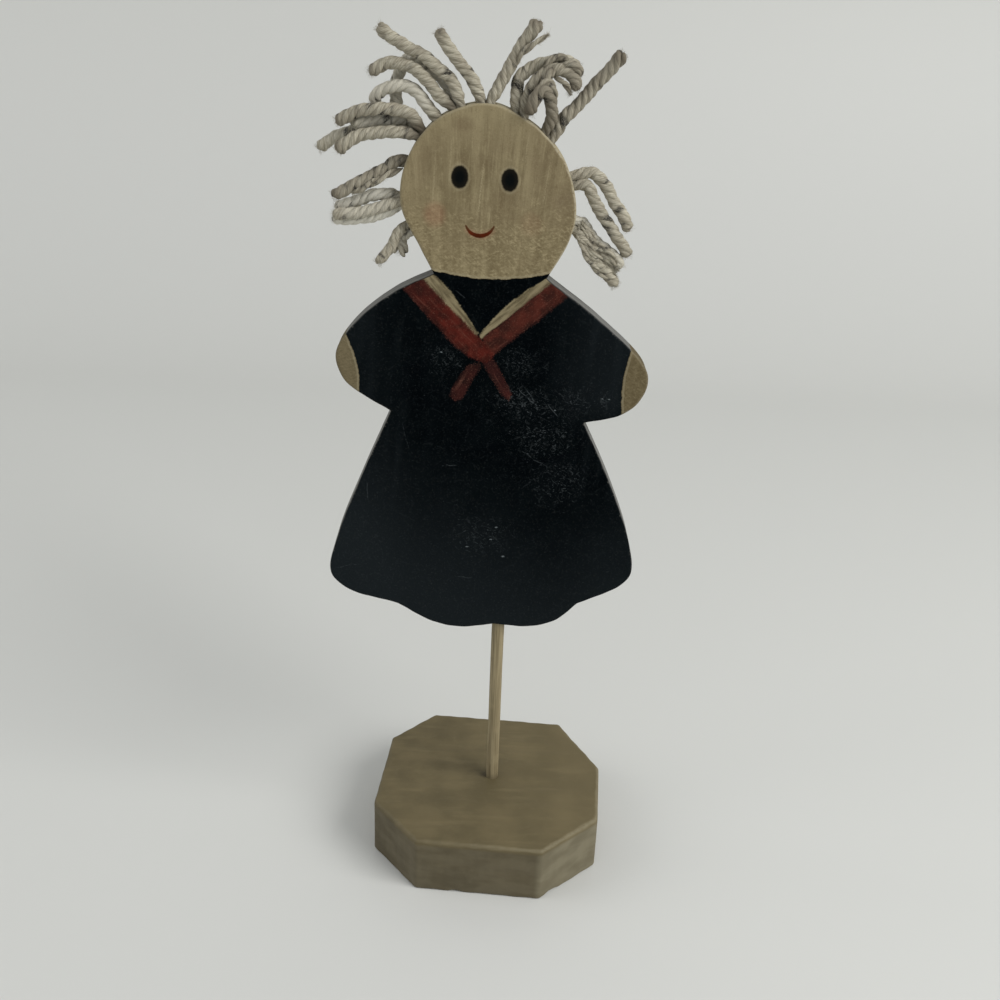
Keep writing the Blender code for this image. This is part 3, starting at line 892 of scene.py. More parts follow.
def block_outline():
    """The outline with its corners as arcs: even points, and the outward direction at each.

    An arc's middle is where the two edges that meet there, moved in by the arc's radius, cross.
    """
    hx = block_width / 2
    hy = block_depth / 2
    corners = np.array([
        (-hx + cut_across["front_left"], -hy), (hx - cut_across["front_right"], -hy),
        (hx, -hy + cut_along["front_right"]), (hx, hy - cut_along["back_right"]),
        (hx - cut_across["back_right"], hy), (-hx + cut_across["back_left"], hy),
        (-hx, hy - cut_along["back_left"]), (-hx, -hy + cut_along["front_left"]),
    ])
    ahead = unit(np.roll(corners, -1, axis=0) - corners)
    out_ahead = np.stack([ahead[:, 1], -ahead[:, 0]], axis=1)
    out_behind = np.roll(out_ahead, 1, axis=0)
    bisector = unit(out_ahead + out_behind)
    inward = block_corner_round / (bisector * out_ahead).sum(axis=1)
    middles = corners - bisector * inward[:, None]
    start = np.arctan2(out_behind[:, 1], out_behind[:, 0])
    sweep = (np.arctan2(out_ahead[:, 1], out_ahead[:, 0]) - start) % (2.0 * np.pi)
    angles = start[:, None] + sweep[:, None] * np.linspace(0.0, 1.0, corner_steps)
    out = np.stack([np.cos(angles), np.sin(angles)], axis=-1)
    arcs = (middles[:, None] + block_corner_round * out).reshape(-1, 2)
    both = np.hstack([arcs, out.reshape(-1, 2)])
    both = np.vstack([both, both[:1]])
    along = distances(both[:, :2])
    marks = np.arange(0.0, along[-1], block_spacing)
    even = read_along(both, along, marks)
    return even[:, :2], unit(even[:, 2:]), marks


print("block outline:", len(block_outline()[2]), "points")

# %% [markdown]
# The skin of the block is one grid of rings. A cube with bevels would look new, while here each rim can
# be rubbed more in one place than in the next, as after years of handling, and chips along the foot
# widen its rim. The first rings go up the underside's rim, up the wall and over the worn top rim.

# %% Block walls
top_round = 0.0015
top_wander, top_waves = 0.30, (0.008, 0.021, 0.055)
foot_round = 0.0009
foot_wander, foot_waves = 0.3, (0.009, 0.023)
foot_wear = 0.6
block_chips = [(0.0165, 0.0022, 0.0009), (0.0560, 0.0030, 0.0011), (0.0950, 0.0016, 0.0007)]
wall_unevenness, wall_waves = 0.00010, (0.004, 0.013, 0.031)
block_rim_steps = 7
wall_rows = 12
flat_margin = 0.0005
widest_margin = 0.95 * block_corner_round


def block_walls(rng):
    """Rings from the rim of the underside up to the edge of the top, and how worn each point is.

    On a rim, with a from 0 to a quarter turn, one of inset and rise is r * (1 - sin a) and the other is
    r * (1 - cos a). Along the foot, r grows by the depth of a chip.
    """
    flat, out, marks = block_outline()
    cos, sin = math.cos(block_turn), math.sin(block_turn)
    turn = np.array([[cos, sin], [-sin, cos]])
    foot = foot_round * (1.0 + foot_wander * wander(marks, foot_waves, rng))
    for place, reach, deep in block_chips:
        foot = foot + deep * np.exp(-((marks - place) / reach) ** 4)
    rim = top_round * (1.0 + top_wander * wander(marks, top_waves, rng))
    uneven = wall_unevenness * wander(marks, wall_waves, rng)
    a = np.linspace(0.0, np.pi / 2, block_rim_steps)[:, None]
    rise = np.linspace(0.0, 1.0, wall_rows + 2)[1:-1, None]
    top = block_high.z
    inset = np.vstack([
        foot + flat_margin,
        foot * (1.0 - np.sin(a)),
        uneven * np.sin(np.pi * rise),
        rim * (1.0 - np.cos(a)),
        np.minimum(rim + flat_margin, widest_margin),
    ])
    z = np.vstack([
        np.zeros_like(foot),
        foot * (1.0 - np.cos(a)),
        foot + (top - foot - rim) * rise,
        top - rim * (1.0 - np.sin(a)),
        np.full_like(rim, top),
    ])
    worn = np.zeros(z.shape)
    worn[1:1 + block_rim_steps] = foot_wear * np.sin(2.0 * a)
    worn[-1 - block_rim_steps:-1] = np.sin(2.0 * a)
    return np.concatenate([flat @ turn - out @ turn * inset[..., None], z[..., None]], axis=-1), worn


print("walls:", len(block_chips), "chips along the foot")

# %% [markdown]
# The other rings go in across the top and down into the dowel's hole. They start as the eight-sided
# outline and end as the circle of the hole, which is a hair narrower than the dowel, so that it closes
# round it.

# %% Block top
top_rows = 26
nearly_there = 0.997
hollow_depth, hollow_pitch, hollow_slant = 0.00012, 0.017, 9.0
dowel_radius = (dowel_high.x - dowel_low.x) / 2
dowel_axis = np.array([(dowel_low.x + dowel_high.x) / 2, (dowel_low.y + dowel_high.y) / 2])
hole_squeeze = 0.00008
hole_radius = dowel_radius - hole_squeeze
hole_depths = np.array([0.0004, 0.0020, 0.004])
block_seed = 8


def block_top(edge):
    """Rings from the edge of the top in to the circle of the hole, and down the hole.

    A ring of the top is a share of the way from the edge to the circle. It dips by the size of a sine
    across the block, which fades out at the edge and at the hole: the shallow hollows left by a plane.
    """
    bearing = np.arctan2(edge[:, 1] - dowel_axis[1], edge[:, 0] - dowel_axis[0])
    circle = dowel_axis + hole_radius * np.stack([np.cos(bearing), np.sin(bearing)], axis=-1)
    share = np.append(np.linspace(0.0, 1.0, top_rows + 1)[1:-1], (nearly_there, 1.0))[:, None, None]
    inward = edge[:, :2] * (1.0 - share) + circle * share
    wave = inward[..., 1] * 2.0 * np.pi / hollow_pitch + hollow_slant * inward[..., 0]
    dip = hollow_depth * np.abs(np.sin(wave)) * np.sin(np.pi * share[..., 0])
    flat = np.concatenate([inward, (block_high.z - dip)[..., None]], axis=-1)
    down = np.broadcast_to(block_high.z - hole_depths[:, None], (len(hole_depths), len(circle)))
    around = np.broadcast_to(circle, (*down.shape, 2))
    return np.concatenate([flat, np.concatenate([around, down[..., None]], axis=-1)])


walls, worn = block_walls(np.random.default_rng(block_seed))
block_rings = np.concatenate([walls, block_top(walls[-1])])
worn = np.vstack([worn, np.zeros((len(block_rings) - len(worn), worn.shape[1]))])
worn_vector = np.repeat(worn.reshape(-1, 1), 3, axis=1)
block = add_piece("washed_block", block_rings, capped_grid(*block_rings.shape[:2]), {"worn": worn_vector})
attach(block, "root")
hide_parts("base_block")
print("block:", len(block.data.polygons), "faces")

# %% [markdown]
# ## The dowel
#
# A dowel is turned, but never quite true: it swells and bends by a hair along its length. It is a
# tube whose radius and middle wander a little, with chamfered ends out of sight in their holes. A plain
# cylinder would catch the light in one straight line.

# %% Dowel
dowel_rows = 160
dowel_sides = 48
dowel_swell, swell_waves = 0.012, (0.013, 0.031, 0.060)
dowel_bend, bend_waves_x, bend_waves_y = 0.00008, (0.070, 0.110), (0.080, 0.120)
dowel_chamfer = 0.85
dowel_seed = 3


def dowel_surface(rng):
    """Circles up the dowel: the radius and the middle each wander by a few hundredths of a millimetre."""
    z = np.linspace(dowel_low.z, dowel_high.z, dowel_rows)
    radius = dowel_radius * (1.0 + dowel_swell * wander(z, swell_waves, rng))
    radius[[0, -1]] *= dowel_chamfer
    middle_x = dowel_axis[0] + dowel_bend * wander(z, bend_waves_x, rng)
    middle_y = dowel_axis[1] + dowel_bend * wander(z, bend_waves_y, rng)
    side = np.linspace(0.0, 2.0 * np.pi, dowel_sides, endpoint=False)
    x = middle_x[:, None] + radius[:, None] * np.cos(side)
    y = middle_y[:, None] + radius[:, None] * np.sin(side)
    return np.stack([x, y, np.broadcast_to(z[:, None], x.shape)], axis=-1)[None]


dowel_rings = dowel_surface(np.random.default_rng(dowel_seed))
dowel_ends = [dowel_rings[:, row].mean(axis=1) for row in (0, -1)]
dowel = add_piece("turned_dowel", *closed_tubes(dowel_rings, *dowel_ends), {})
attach(dowel, "root")
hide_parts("dowel")
print("dowel:", len(dowel.data.polygons), "faces")

# %% [markdown]
# ## Finishes as sums
#
# A finish could be a painted image, but a formula over the surface stays sharp close up and has no seams:
# where the paint ends, how the brush streaked, where it wore off. Field wraps one value of a material,
# and ordinary arithmetic on it adds the Math nodes, so the formulas below read as they would on paper.

# %% Shader arithmetic
class Field:
    """A value that changes over a surface. Arithmetic on it adds Math nodes to its finish."""

    def __init__(self, finish, socket):
        self.finish = finish
        self.socket = socket

    def math(self, operation, *others):
        return self.finish.node("Math", {"operation": operation}, dict(enumerate((self, *others))))

    def __add__(self, other):
        return self.math("ADD", other)

    def __sub__(self, other):
        return self.math("SUBTRACT", other)

    def __mul__(self, other):
        return self.math("MULTIPLY", other)

    def __rsub__(self, other):
        return self * -1.0 + other

    def __abs__(self):
        return self.math("ABSOLUTE")

    __radd__ = __add__
    __rmul__ = __mul__

    def least(self, other):
        return self.math("MINIMUM", other)

    def most(self, other):
        return self.math("MAXIMUM", other)

    def root(self):
        return self.math("SQRT")

    def sway(self, size):
        """A noise about one half turned into a shift about nought, in all of the size given."""
        return (self - 0.5) * size

    def step(self, low, high):
        """0 at low and 1 at high, smooth between; low may be the larger."""
        return self.finish.node("MapRange", {"interpolation_type": "SMOOTHSTEP"},
                                {"Value": self, "From Min": low, "From Max": high})


print("sums that a field knows:", ", ".join(name for name in vars(Field) if not name.startswith("_")))

# %% [markdown]
# Finish is one material. It adds any other node and keeps the shader. Most colours are built up in coats,
# like paint: each has a name, a mask, a strength and an ink.

# %% Finish and ink
class Finish:
    """One material. Its shader's steady values are set here, and its nodes are added by its methods."""

    def __init__(self, name, steady):
        self.material = bpy.data.materials.new(name)
        self.material.use_nodes = True
        self.tree = self.material.node_tree
        self.shader = self.tree.nodes["Principled BSDF"]
        for key, value in steady.items():
            self.shader.inputs[key].default_value = value

    def feed(self, socket, value):
        if isinstance(value, Field):
            self.tree.links.new(value.socket, socket)
        else:
            socket.default_value = value

    def node(self, kind, settings, sockets, output=0):
        made = self.tree.nodes.new("ShaderNode" + kind)
        for key, value in settings.items():
            setattr(made, key, value)
        for key, value in sockets.items():
            self.feed(made.inputs[key], value)
        return Field(self, made.outputs[output])

    def place(self, middle, scale):
        """Object coordinates from a middle point, in units of one over the scale."""
        here = self.node("TexCoord", {}, {}, "Object")
        moved = self.node("VectorMath", {"operation": "SUBTRACT"}, {0: here, 1: tuple(middle)})
        return self.stretch(moved, (scale, scale, scale))

    def stretch(self, vector, factors):
        return self.node("VectorMath", {"operation": "MULTIPLY"}, {0: vector, 1: factors})

    def vector(self, *parts):
        return self.node("CombineXYZ", {}, dict(enumerate(parts)))

    def parts(self, vector):
        split = self.node("SeparateXYZ", {}, {0: vector}).socket.node
        return [Field(self, split.outputs[i]) for i in range(3)]

    def noise(self, vector, detail=2.0, scale=1.0):
        return self.node("TexNoise", {}, {"Vector": vector, "Scale": scale, "Detail": detail}, "Fac")

    def mix(self, share, first, second):
        return self.node("Mix", {"data_type": "RGBA"}, {0: share, 6: first, 7: second}, 2)

    def coats(self, colour, layers):
        """Coats laid over a colour in order. Each has a name, a mask, a strength and an ink."""
        for name, (mask, strength, tint) in layers.items():
            colour = self.mix(mask * strength, colour, tint)
            colour.socket.node.label = name
        return colour

    def kept(self, name):
        return self.node("Attribute", {"attribute_name": name}, {}, "Vector")

    def finish(self, colour, roughness, height, depth):
        """Feed the shader: a colour, a roughness, and a bump whose height field is depth metres tall."""
        self.feed(self.shader.inputs["Base Color"], colour)
        self.feed(self.shader.inputs["Roughness"], roughness)
        bump = self.node("Bump", {}, {"Height": height, "Distance": depth, "Strength": 1.0})
        self.feed(self.shader.inputs["Normal"], bump)
        return self.material


def ink(red, green, blue):
    """A colour as a screen shows it, 0 to 255, turned into the linear light that a shader takes."""
    share = np.array([red, green, blue]) / 255.0
    linear = np.where(share <= 0.04045, share / 12.92, ((share + 0.055) / 1.055) ** 2.4)
    return (*linear.tolist(), 1.0)


print("a middle grey of 128 gives back", round(ink(128, 128, 128)[0], 3), "of the light")

# %% [markdown]
# ## Cotton string
#
# The string is undyed cotton with grey and black fibres spun in. Its colour follows the fibres of each
# ply, so the streaks wind with them. The crevices between plies are painted darker, as shade. The soil
# and shade kept on the points make handled strands duller, paint shade on some strands and on the roots
# next to the board, and paint others paler as if lit, and the flecks turn nearly black.

# %% String finish
def string_finish():
    f = Finish("cotton_string", {"Specular IOR Level": 0.25})
    fibre = f.kept("fibre")
    outside, fleck, soil_and_shade = f.parts(f.kept("skin"))
    streak = f.noise(fibre, 3.0, 1.6)
    fine = f.noise(fibre, 2.0, 5.0)
    clump = f.noise(f.place(hem_point, 1000.0), 2.0, 0.22)
    dark = (fleck * fine.step(0.36, 0.52)).most(fine.step(0.70, 0.77) * 0.55)
    colour = f.mix(streak.step(0.30, 0.70), ink(136, 129, 112), ink(188, 182, 163))
    colour = f.coats(colour, {
        "grey clumps": (clump.step(0.42, 0.70), 0.40, ink(128, 119, 103)),
        # The crevices are painted darker as shade; the soil values darken strands for dirt and shade, and
        # lighten some as painted light.
        "painted shade in crevices": (outside.step(0.50, -0.35), 0.46, ink(100, 92, 77)),
        "dirtier and painted shade": (soil_and_shade.step(0.0, 1.0), 1.0, ink(96, 88, 74)),
        "cleaner and painted light": ((soil_and_shade * -1.0).most(0.0), 1.0, ink(208, 204, 190)),
        "flecks": (dark.step(0.05, 0.75), 1.0, ink(38, 36, 34)),
    })
    return f.finish(colour, 0.92, streak * 0.6 + fine * 0.4, 0.00022)


cotton = string_finish()
for piece in strings.values():
    piece.data.materials.append(cotton)
print("string finish:", len(cotton.node_tree.nodes), "nodes")

# %% [markdown]
# ## Paint on the board
#
# All the paint is worked out in millimetres from the dowel's place in the hem. A straight edge is a
# signed distance, x * nx + z * nz - c, positive inside. A patch is the least of its edges, and a round
# shape is a distance in shares of its width and height. Noise moves x and z a little first, so that no
# edge is drawn with a ruler.

# %% Paint shapes
def line_side(x, z, start, end):
    """Distance from the line through two points, positive on the left of the way from start to end."""
    dx = end[0] - start[0]
    dz = end[1] - start[1]
    size = math.hypot(dx, dz)
    return x * (-dz / size) + z * (dx / size) - (start[1] * dx - start[0] * dz) / size


def patch(x, z, corners):
    """Distance inside a convex patch whose corners go anticlockwise."""
    inside = line_side(x, z, corners[-1], corners[0])
    for start, end in zip(corners, corners[1:]):
        inside = inside.least(line_side(x, z, start, end))
    return inside


def away(x, z, middle, wide=1.0, tall=1.0):
    """How far a point is from a middle, in shares of the width and the height."""
    u = (x - middle[0]) * (1.0 / wide)
    v = (z - middle[1]) * (1.0 / tall)
    return (u * u + v * v).root()


print("the hem lies at", [round(value * 1000, 1) for value in hem_point.tolist()], "mm")

# %% [markdown]
# Every coat is worked out from the same places and noises, so these come first. How far a point lies
# from the middle of the board tells the front face, the sawn edge and the rubbed rims apart. Bristles
# are noise drawn out along an angle.

# %% Paint fields
slow_shift, ragged_shift = 0.9, 0.5
noise_apart = 9.0


class BoardPaint(Finish):
    """The board's finish, with the places and noises that its coats share, in millimetres."""

    def __init__(self, name, steady):
        super().__init__(name, steady)
        self.mm = self.place(hem_point, 1000.0)
        self.x0, self.y, self.z0 = self.parts(self.mm)
        self.slow = self.noise(self.mm, 2.0, 0.22)
        self.slow_too = self.noise(self.stretch(self.mm, (1.0, 1.0, -1.0)), 2.0, 0.26)
        self.ragged = self.noise(self.mm, 3.0, 1.4)
        self.speck = self.noise(self.mm, 3.0, 2.6)
        self.blotch = self.noise(self.mm, 2.0, 0.10)
        self.patchy = self.noise(self.mm, 3.0, 0.33)
        self.x = self.x0 + self.slow.sway(slow_shift) + self.ragged.sway(ragged_shift)
        self.z = self.z0 + self.slow_too.sway(slow_shift) + self.ragged.sway(ragged_shift)
        half = board_half * 1000.0
        depth = abs(self.y)
        self.front = self.y.step(0.25 - half, 0.02 - half)
        self.edge = depth.step(half - 0.05, half - 0.75)
        self.rim = depth.step(half - 0.80, half - 0.30) * depth.step(half + 0.02, half - 0.12)


def bristles(f, x, z, degrees, long, wide):
    """Noise drawn out along an angle, so that its waves are about so long and so wide, in millimetres.

    Each angle reads another layer of the noise, so that crossing strokes have nothing in common.
    """
    turn = math.radians(degrees)
    lengthwise = x * (math.cos(turn) / long) + z * (math.sin(turn) / long)
    crosswise = z * (math.cos(turn) / wide) - x * (math.sin(turn) / wide)
    return f.noise(f.vector(lengthwise, crosswise, turn * noise_apart), 3.0)


def most_of(fields):
    """The largest of several fields at each point."""
    largest = fields[0]
    for field in fields[1:]:
        largest = largest.most(field)
    return largest


print("front face at", round(-board_half * 1000, 2), "mm from the middle of the board")

# %% [markdown]
# The head and hands are a thin tan coat that shows the brush and the grain. Its streaks run upwards and
# fan out a little. The lower face was dabbed instead, so short strokes cross there and stand up as a
# crust. The left side is painted lighter and the right darker, as light and shade. A few single bristles
# left pale lines, and the coat is rubbed along the edge, where the worn rim is also painted paler as a
# highlight, most on the right.

# %% Tan coat
brush_lines = [
    ((-12.5, 155.6), (-11.1, 173.3), 0.45), ((-9.0, 152.4), (-8.4, 158.0), 0.35),
    ((-27.6, 158.0), (-26.8, 176.0), 0.30), ((8.8, 160.0), (10.6, 175.0), 0.30),
    ((-22.4, 164.0), (-21.6, 181.0), 0.22), ((2.2, 171.0), (3.4, 184.0), 0.22),
]
streak_middle = 160.0
streak_fan, streak_lean = 0.004, 0.06


def tan_coat(f):
    """The tan coat before wear, with its long streaks and its relief."""
    x0, z0, ragged, speck, patchy = f.x0, f.z0, f.ragged, f.speck, f.patchy
    lean = x0 - (z0 - streak_middle) * (x0 * streak_fan + streak_lean)

    def streaks(across, along, detail):
        return f.noise(f.vector(lean * across, f.y * across, z0 * along), detail)

    streak = streaks(0.30, 0.032, 4.0)
    hairs = streaks(1.1, 0.055, 3.0)
    fine_hairs = streaks(2.3, 0.11, 2.0)
    stroke = bristles(f, x0, z0, 17.0, 1.6, 0.60)
    cross_stroke = bristles(f, x0, z0, -41.0, 1.4, 0.60)
    low_face = (z0 + f.slow.sway(26.0) - abs(x0 + 9.0) * 0.20).step(164.0, 146.0)
    crust = low_face * (patchy.step(0.30, 0.58) * 0.6 + 0.4)
    dark_patch = away(f.x, f.z, (-18.2, 184.6), 4.6, 3.4)
    shade = away(f.x, f.z, (17.0, 157.5), 6.0, 10.0)
    tan = f.mix(streak.step(0.28, 0.72), ink(105, 93, 68), ink(143, 131, 101))
    tan = f.coats(tan, {
        "clouds": (f.blotch.step(0.40, 0.66), 0.40, ink(113, 99, 75)),
        "pale hairs": (hairs.step(0.52, 0.70) * patchy.step(0.34, 0.60), 0.52, ink(153, 141, 109)),
        "dark hairs": (hairs.step(0.47, 0.30) * patchy.step(0.66, 0.38), 0.50, ink(95, 83, 60)),
        "pale crown": (z0.step(172.0, 190.0), 0.60, ink(144, 132, 102)),
        "stain on the forehead": (dark_patch.step(1.1, 0.3), 0.45, ink(100, 84, 62)),
        "shade on the right cheek": (shade.step(1.1, 0.5), 0.45, ink(110, 96, 75)),
        # The left of the head is painted lighter and the right darker, as light and shade.
        "painted light on the left side": (x0.step(-18.0, -36.0), 0.30, ink(144, 131, 102)),
        "painted shade on the right side": (x0.step(-4.0, 14.0), 0.22, ink(104, 90, 66)),
        "pale specks": (speck.step(0.54, 0.72), 0.26, ink(154, 142, 111)),
        "dark specks": (speck.step(0.44, 0.28), 0.26, ink(92, 80, 57)),
        "fine pale hairs": (fine_hairs.step(0.60, 0.72) * patchy.step(0.36, 0.60), 0.40, ink(160, 148, 116)),
        "fine dark hairs": (fine_hairs.step(0.40, 0.27) * patchy.step(0.64, 0.40), 0.40, ink(86, 74, 52)),
        "lower face": (low_face, 0.35, ink(130, 118, 88)),
        "pale grains": (ragged.step(0.56, 0.68) * patchy.step(0.40, 0.60), 0.22, ink(150, 138, 106)),
        "dark grains": (ragged.step(0.44, 0.32) * patchy.step(0.60, 0.40), 0.26, ink(98, 86, 62)),
        "pale crust": (crust * stroke.most(cross_stroke).step(0.54, 0.68), 0.48, ink(164, 151, 118)),
        "dark crust": (crust * stroke.least(cross_stroke).step(0.46, 0.32), 0.44, ink(86, 74, 51)),
    })
    relief = streak * 0.4 + hairs * 0.30 + ragged * 0.15 + crust * (stroke + cross_stroke) * 0.25
    return tan, streak, relief


def worn_tan(f, tan):
    """Pale lines of single bristles, then the bare edge, and the rubbed rims with a painted highlight."""
    for start, end, strength in brush_lines:
        across = abs(line_side(f.x0, f.z0, start, end) + f.ragged.sway(0.35))
        reach = f.z0.step(start[1] - 2.0, start[1] + 3.0) * f.z0.step(end[1] + 2.0, end[1] - 4.0)
        reach = reach * f.speck.step(0.34, 0.50) * f.front
        tan = f.mix(across.step(0.46, 0.10) * reach * strength, tan, ink(166, 154, 122))
    sawn = f.mix(f.z0.step(120.0, 150.0), ink(104, 94, 70), ink(164, 154, 126))
    rim_light = f.x0.step(-8.0, 14.0) * 0.35 + 0.20
    return f.coats(tan, {
        "sawn edge": (f.edge, 0.65, sawn),
        # The worn rim is painted paler as a highlight, more towards the right.
        "worn rim and painted highlight": (f.rim * f.ragged.step(0.30, 0.55), rim_light, ink(168, 161, 140)),
    })


print("tan coat:", len(brush_lines), "pale bristle lines")

# %% [markdown]
# The face is two black ovals, a curved line and a trace of blush. Each eye has a pale halo, where the
# brush pushed the coat aside, and is darkest in its middle. The smile is part of a ring that narrows
# towards its ends.

# %% Face
eyes = [(-18.8, 168.0), (-2.4, 167.6)]
eye_half_width = 2.85
eye_half_height = 3.75
smile_middle = (-11.75, 154.15)
smile_radius = 5.0
smile_top = 152.5
cheeks = [((-26.8, 155.6), 0.24), ((5.3, 153.5), 0.08)]


def painted_face(f, tan):
    """Blush, eyes and smile over the tan coat, on the front only."""
    for middle, strength in cheeks:
        blush = away(f.x, f.z, middle, 1.0, 1.1).step(5.0, 1.8) * f.front * strength
        tan = f.mix(blush * (f.speck * 0.8 + 0.6), tan, ink(146, 88, 71))
    for middle in eyes:
        eye = away(f.x0, f.z0, middle, eye_half_width, eye_half_height) + f.ragged.sway(0.16)
        wet = f.mix(eye.step(0.95, 0.30), ink(24, 22, 17), ink(10, 13, 13))
        tan = f.coats(tan, {
            "halo": (eye.step(1.34, 1.10) * f.front, 0.22, ink(160, 150, 124)),
            "eye": (eye.step(1.10, 0.88), f.front, wet),
        })
    ring = abs(away(f.x0, f.z0, smile_middle) - smile_radius)
    brush = 0.70 - (f.z0 - smile_middle[1] + smile_radius) * 0.13 + f.ragged.sway(0.3)
    smile = (brush - ring).step(-0.16, 0.16) * f.z0.step(smile_top + 0.3, smile_top - 0.3)
    lips = f.mix(f.slow.step(0.30, 0.70), ink(68, 28, 12), ink(88, 34, 16))
    lips = f.mix(f.z0.step(149.8, 151.8), lips, ink(80, 52, 32))
    return f.coats(tan, {
        "stain round the smile": (ring.step(1.9, 0.4) * f.z0.step(152.0, 150.5) * f.front, 0.22,
                                  ink(162, 116, 92)),
        "smile": (smile, f.front, lips),
    })


print("face:", len(eyes), "eyes and", len(cheeks), "cheeks")

# %% [markdown]
# The dress is nearly black. It is darkest along a band that slants down across the skirt, and a painted
# sheen, with some rubbing, greys it towards the hem and on the sleeves. Its sawn edge is greyed by wear
# and by a painted reflection, and its rims carry a painted highlight. The chest and the skirt are
# scuffed: flakes, grit, hairlines in a few directions, some long scratches and a few bare chips.

# %% Dress
dark_band = [(-37.6, 83.8), (37.2, 46.2)]
scuffs = [
    ((3.8, 106.0), 9.0, 6.0, 0.7), ((5.0, 91.0), 15.0, 8.0, 1.0), ((13.0, 78.0), 13.0, 10.0, 1.0),
    ((20.0, 61.0), 12.0, 11.0, 0.7), ((-8.0, 38.5), 13.0, 8.0, 0.6), ((-23.0, 106.0), 8.0, 6.0, 0.7),
    ((33.0, 92.0), 5.0, 5.0, 0.6), ((23.5, 91.5), 9.0, 7.0, 0.6),
]
scratches = [
    ((3.0, 96.5), (11.0, 89.0), 0.17), ((13.8, 91.0), (18.0, 86.0), 0.15),
    ((6.4, 96.0), (9.4, 91.0), 0.14), ((-23.2, 65.7), (-17.4, 66.2), 0.11),
    ((4.8, 73.0), (15.4, 66.5), 0.08), ((-62.0, 23.0), (-53.0, 24.6), 0.06),
    ((-17.0, 21.0), (-10.5, 20.5), 0.08), ((-37.4, 82.0), (-34.8, 71.5), 0.05),
    ((-50.2, 58.5), (-49.6, 51.0), 0.08), ((-19.5, 130.5), (-15.5, 127.5), 0.07),
]
scratch_turns = [-54.0, -20.0, 28.0, 79.0]
chips = [((33.3, 93.4), 0.24), ((35.6, 93.3), 0.24), ((-4.2, 36.7), 0.3), ((-2.4, 41.9), 0.3),
         ((0.7, 29.9), 0.42), ((-13.1, 33.5), 0.3), ((16.8, 88.6), 0.22), ((-23.9, 108.3), 0.22)]


def dress_tone(f):
    """The black coat, greyed by a painted sheen and by rubbing: downwards from the dark band, and on both
    sleeves.
    """
    x0, z0 = f.x0, f.z0
    below = line_side(x0, z0, dark_band[1], dark_band[0]) + f.slow.sway(9.0)
    brushed = bristles(f, x0, z0, 84.0, 45.0, 5.0).step(0.46, 0.74)
    # Painted sheen together with rubbing: greyer downwards from the dark band and on the sleeves.
    wear_and_highlight = below.step(-4.0, 68.0) * 0.88 + x0.step(-30.0, -56.0) * 0.28
    wear_and_highlight = wear_and_highlight + x0.step(8.0, 36.0) * z0.step(76.0, 96.0) * 0.52
    wear_and_highlight = wear_and_highlight + x0.step(16.0, 46.0) * z0.step(66.0, 30.0) * 0.40
    wear_and_highlight = wear_and_highlight + brushed * abs(x0 + 5.0).step(14.0, 36.0) * z0.step(40.0, 70.0) * 0.24
    dark = f.mix(f.blotch.step(0.35, 0.70), ink(0, 3, 5), ink(3, 7, 9))
    return f.mix(wear_and_highlight.least(1.0), dark, ink(25, 30, 32))


def dress_dust(f):
    """How bare the dress is: the most of its flakes, grit, hairlines, scratches and chips."""
    x0, z0, patchy = f.x0, f.z0, f.patchy
    grit = f.noise(f.stretch(f.mm, (1.2, 1.2, 1.7)), 4.0)
    flake = f.noise(f.stretch(f.mm, (1.1, 1.1, 2.3)), 3.0)
    blur = f.slow.sway(1.2) + patchy.sway(1.6)
    scuffed = most_of([
        (away(x0, z0, middle, wide, tall) + blur).step(1.20, 0.15) * weight
        for middle, wide, tall, weight in scuffs
    ])
    flakes = flake.step(0.57, 0.68) * patchy.step(0.42, 0.60) * scuffed * 0.20
    bare = [flakes.most(grit.step(0.61, 0.72) * (scuffed * 0.16 + 0.03)) + scuffed * 0.003]
    bent_x = x0 + f.slow.sway(1.6)
    bent_z = z0 + f.slow_too.sway(1.6)
    for degrees in scratch_turns:
        hairline = abs(bristles(f, bent_x, bent_z, degrees, 16.0, 1.5) - 0.5).step(0.030, 0.008)
        broken = bristles(f, bent_x, bent_z, degrees + 9.0, 2.4, 1.2).step(0.55, 0.66)
        bare.append(hairline * broken * (scuffed * 0.11 + 0.015))
    for start, end, strength in scratches:
        middle = ((start[0] + end[0]) / 2, (start[1] + end[1]) / 2)
        half_long = math.hypot(end[0] - start[0], end[1] - start[1]) / 2
        hairline = abs(line_side(bent_x, bent_z, start, end)).step(0.24, 0.06)
        reach = away(x0, z0, middle, half_long, half_long).step(1.10, 0.60)
        bare.append(hairline * reach * f.ragged.step(0.34, 0.52) * strength)
    for middle, size in chips:
        chip = away(f.x, f.z, middle, 1.5, 0.8) + f.speck.sway(size * 2.0)
        bare.append(chip.step(size * 1.5, size * 0.5) * 0.45)
    return most_of(bare) * f.front


def worn_dress(f, dust):
    """The dress with its dust, its edge greyed by wear and painted reflection, and its worn rims with a
    painted highlight.
    """
    edge_wear_and_reflection = f.noise(f.stretch(f.mm, (0.10, 0.9, 0.10)), 3.0)
    return f.coats(dress_tone(f), {
        "dust": (dust, 1.0, ink(136, 144, 146)),
        # The edge is painted grey for wear and as a reflection; the rim is painted paler as a highlight.
        "worn edge and painted reflection": (f.edge, edge_wear_and_reflection.step(0.25, 0.70) * 0.25 + 0.62, ink(116, 115, 110)),
        "worn rim and painted highlight": (f.rim * f.ragged.step(0.56, 0.74), 0.55, ink(112, 110, 102)),
    })


print("dress:", len(scuffs), "scuffs and", len(scratches), "scratches")

# %% [markdown]
# The pale trim of the collar was dragged on with a nearly dry brush. The kerchief was painted last, wet
# and uneven, over the ends of the trim: two tails and two bands, each with its own direction of the brush.

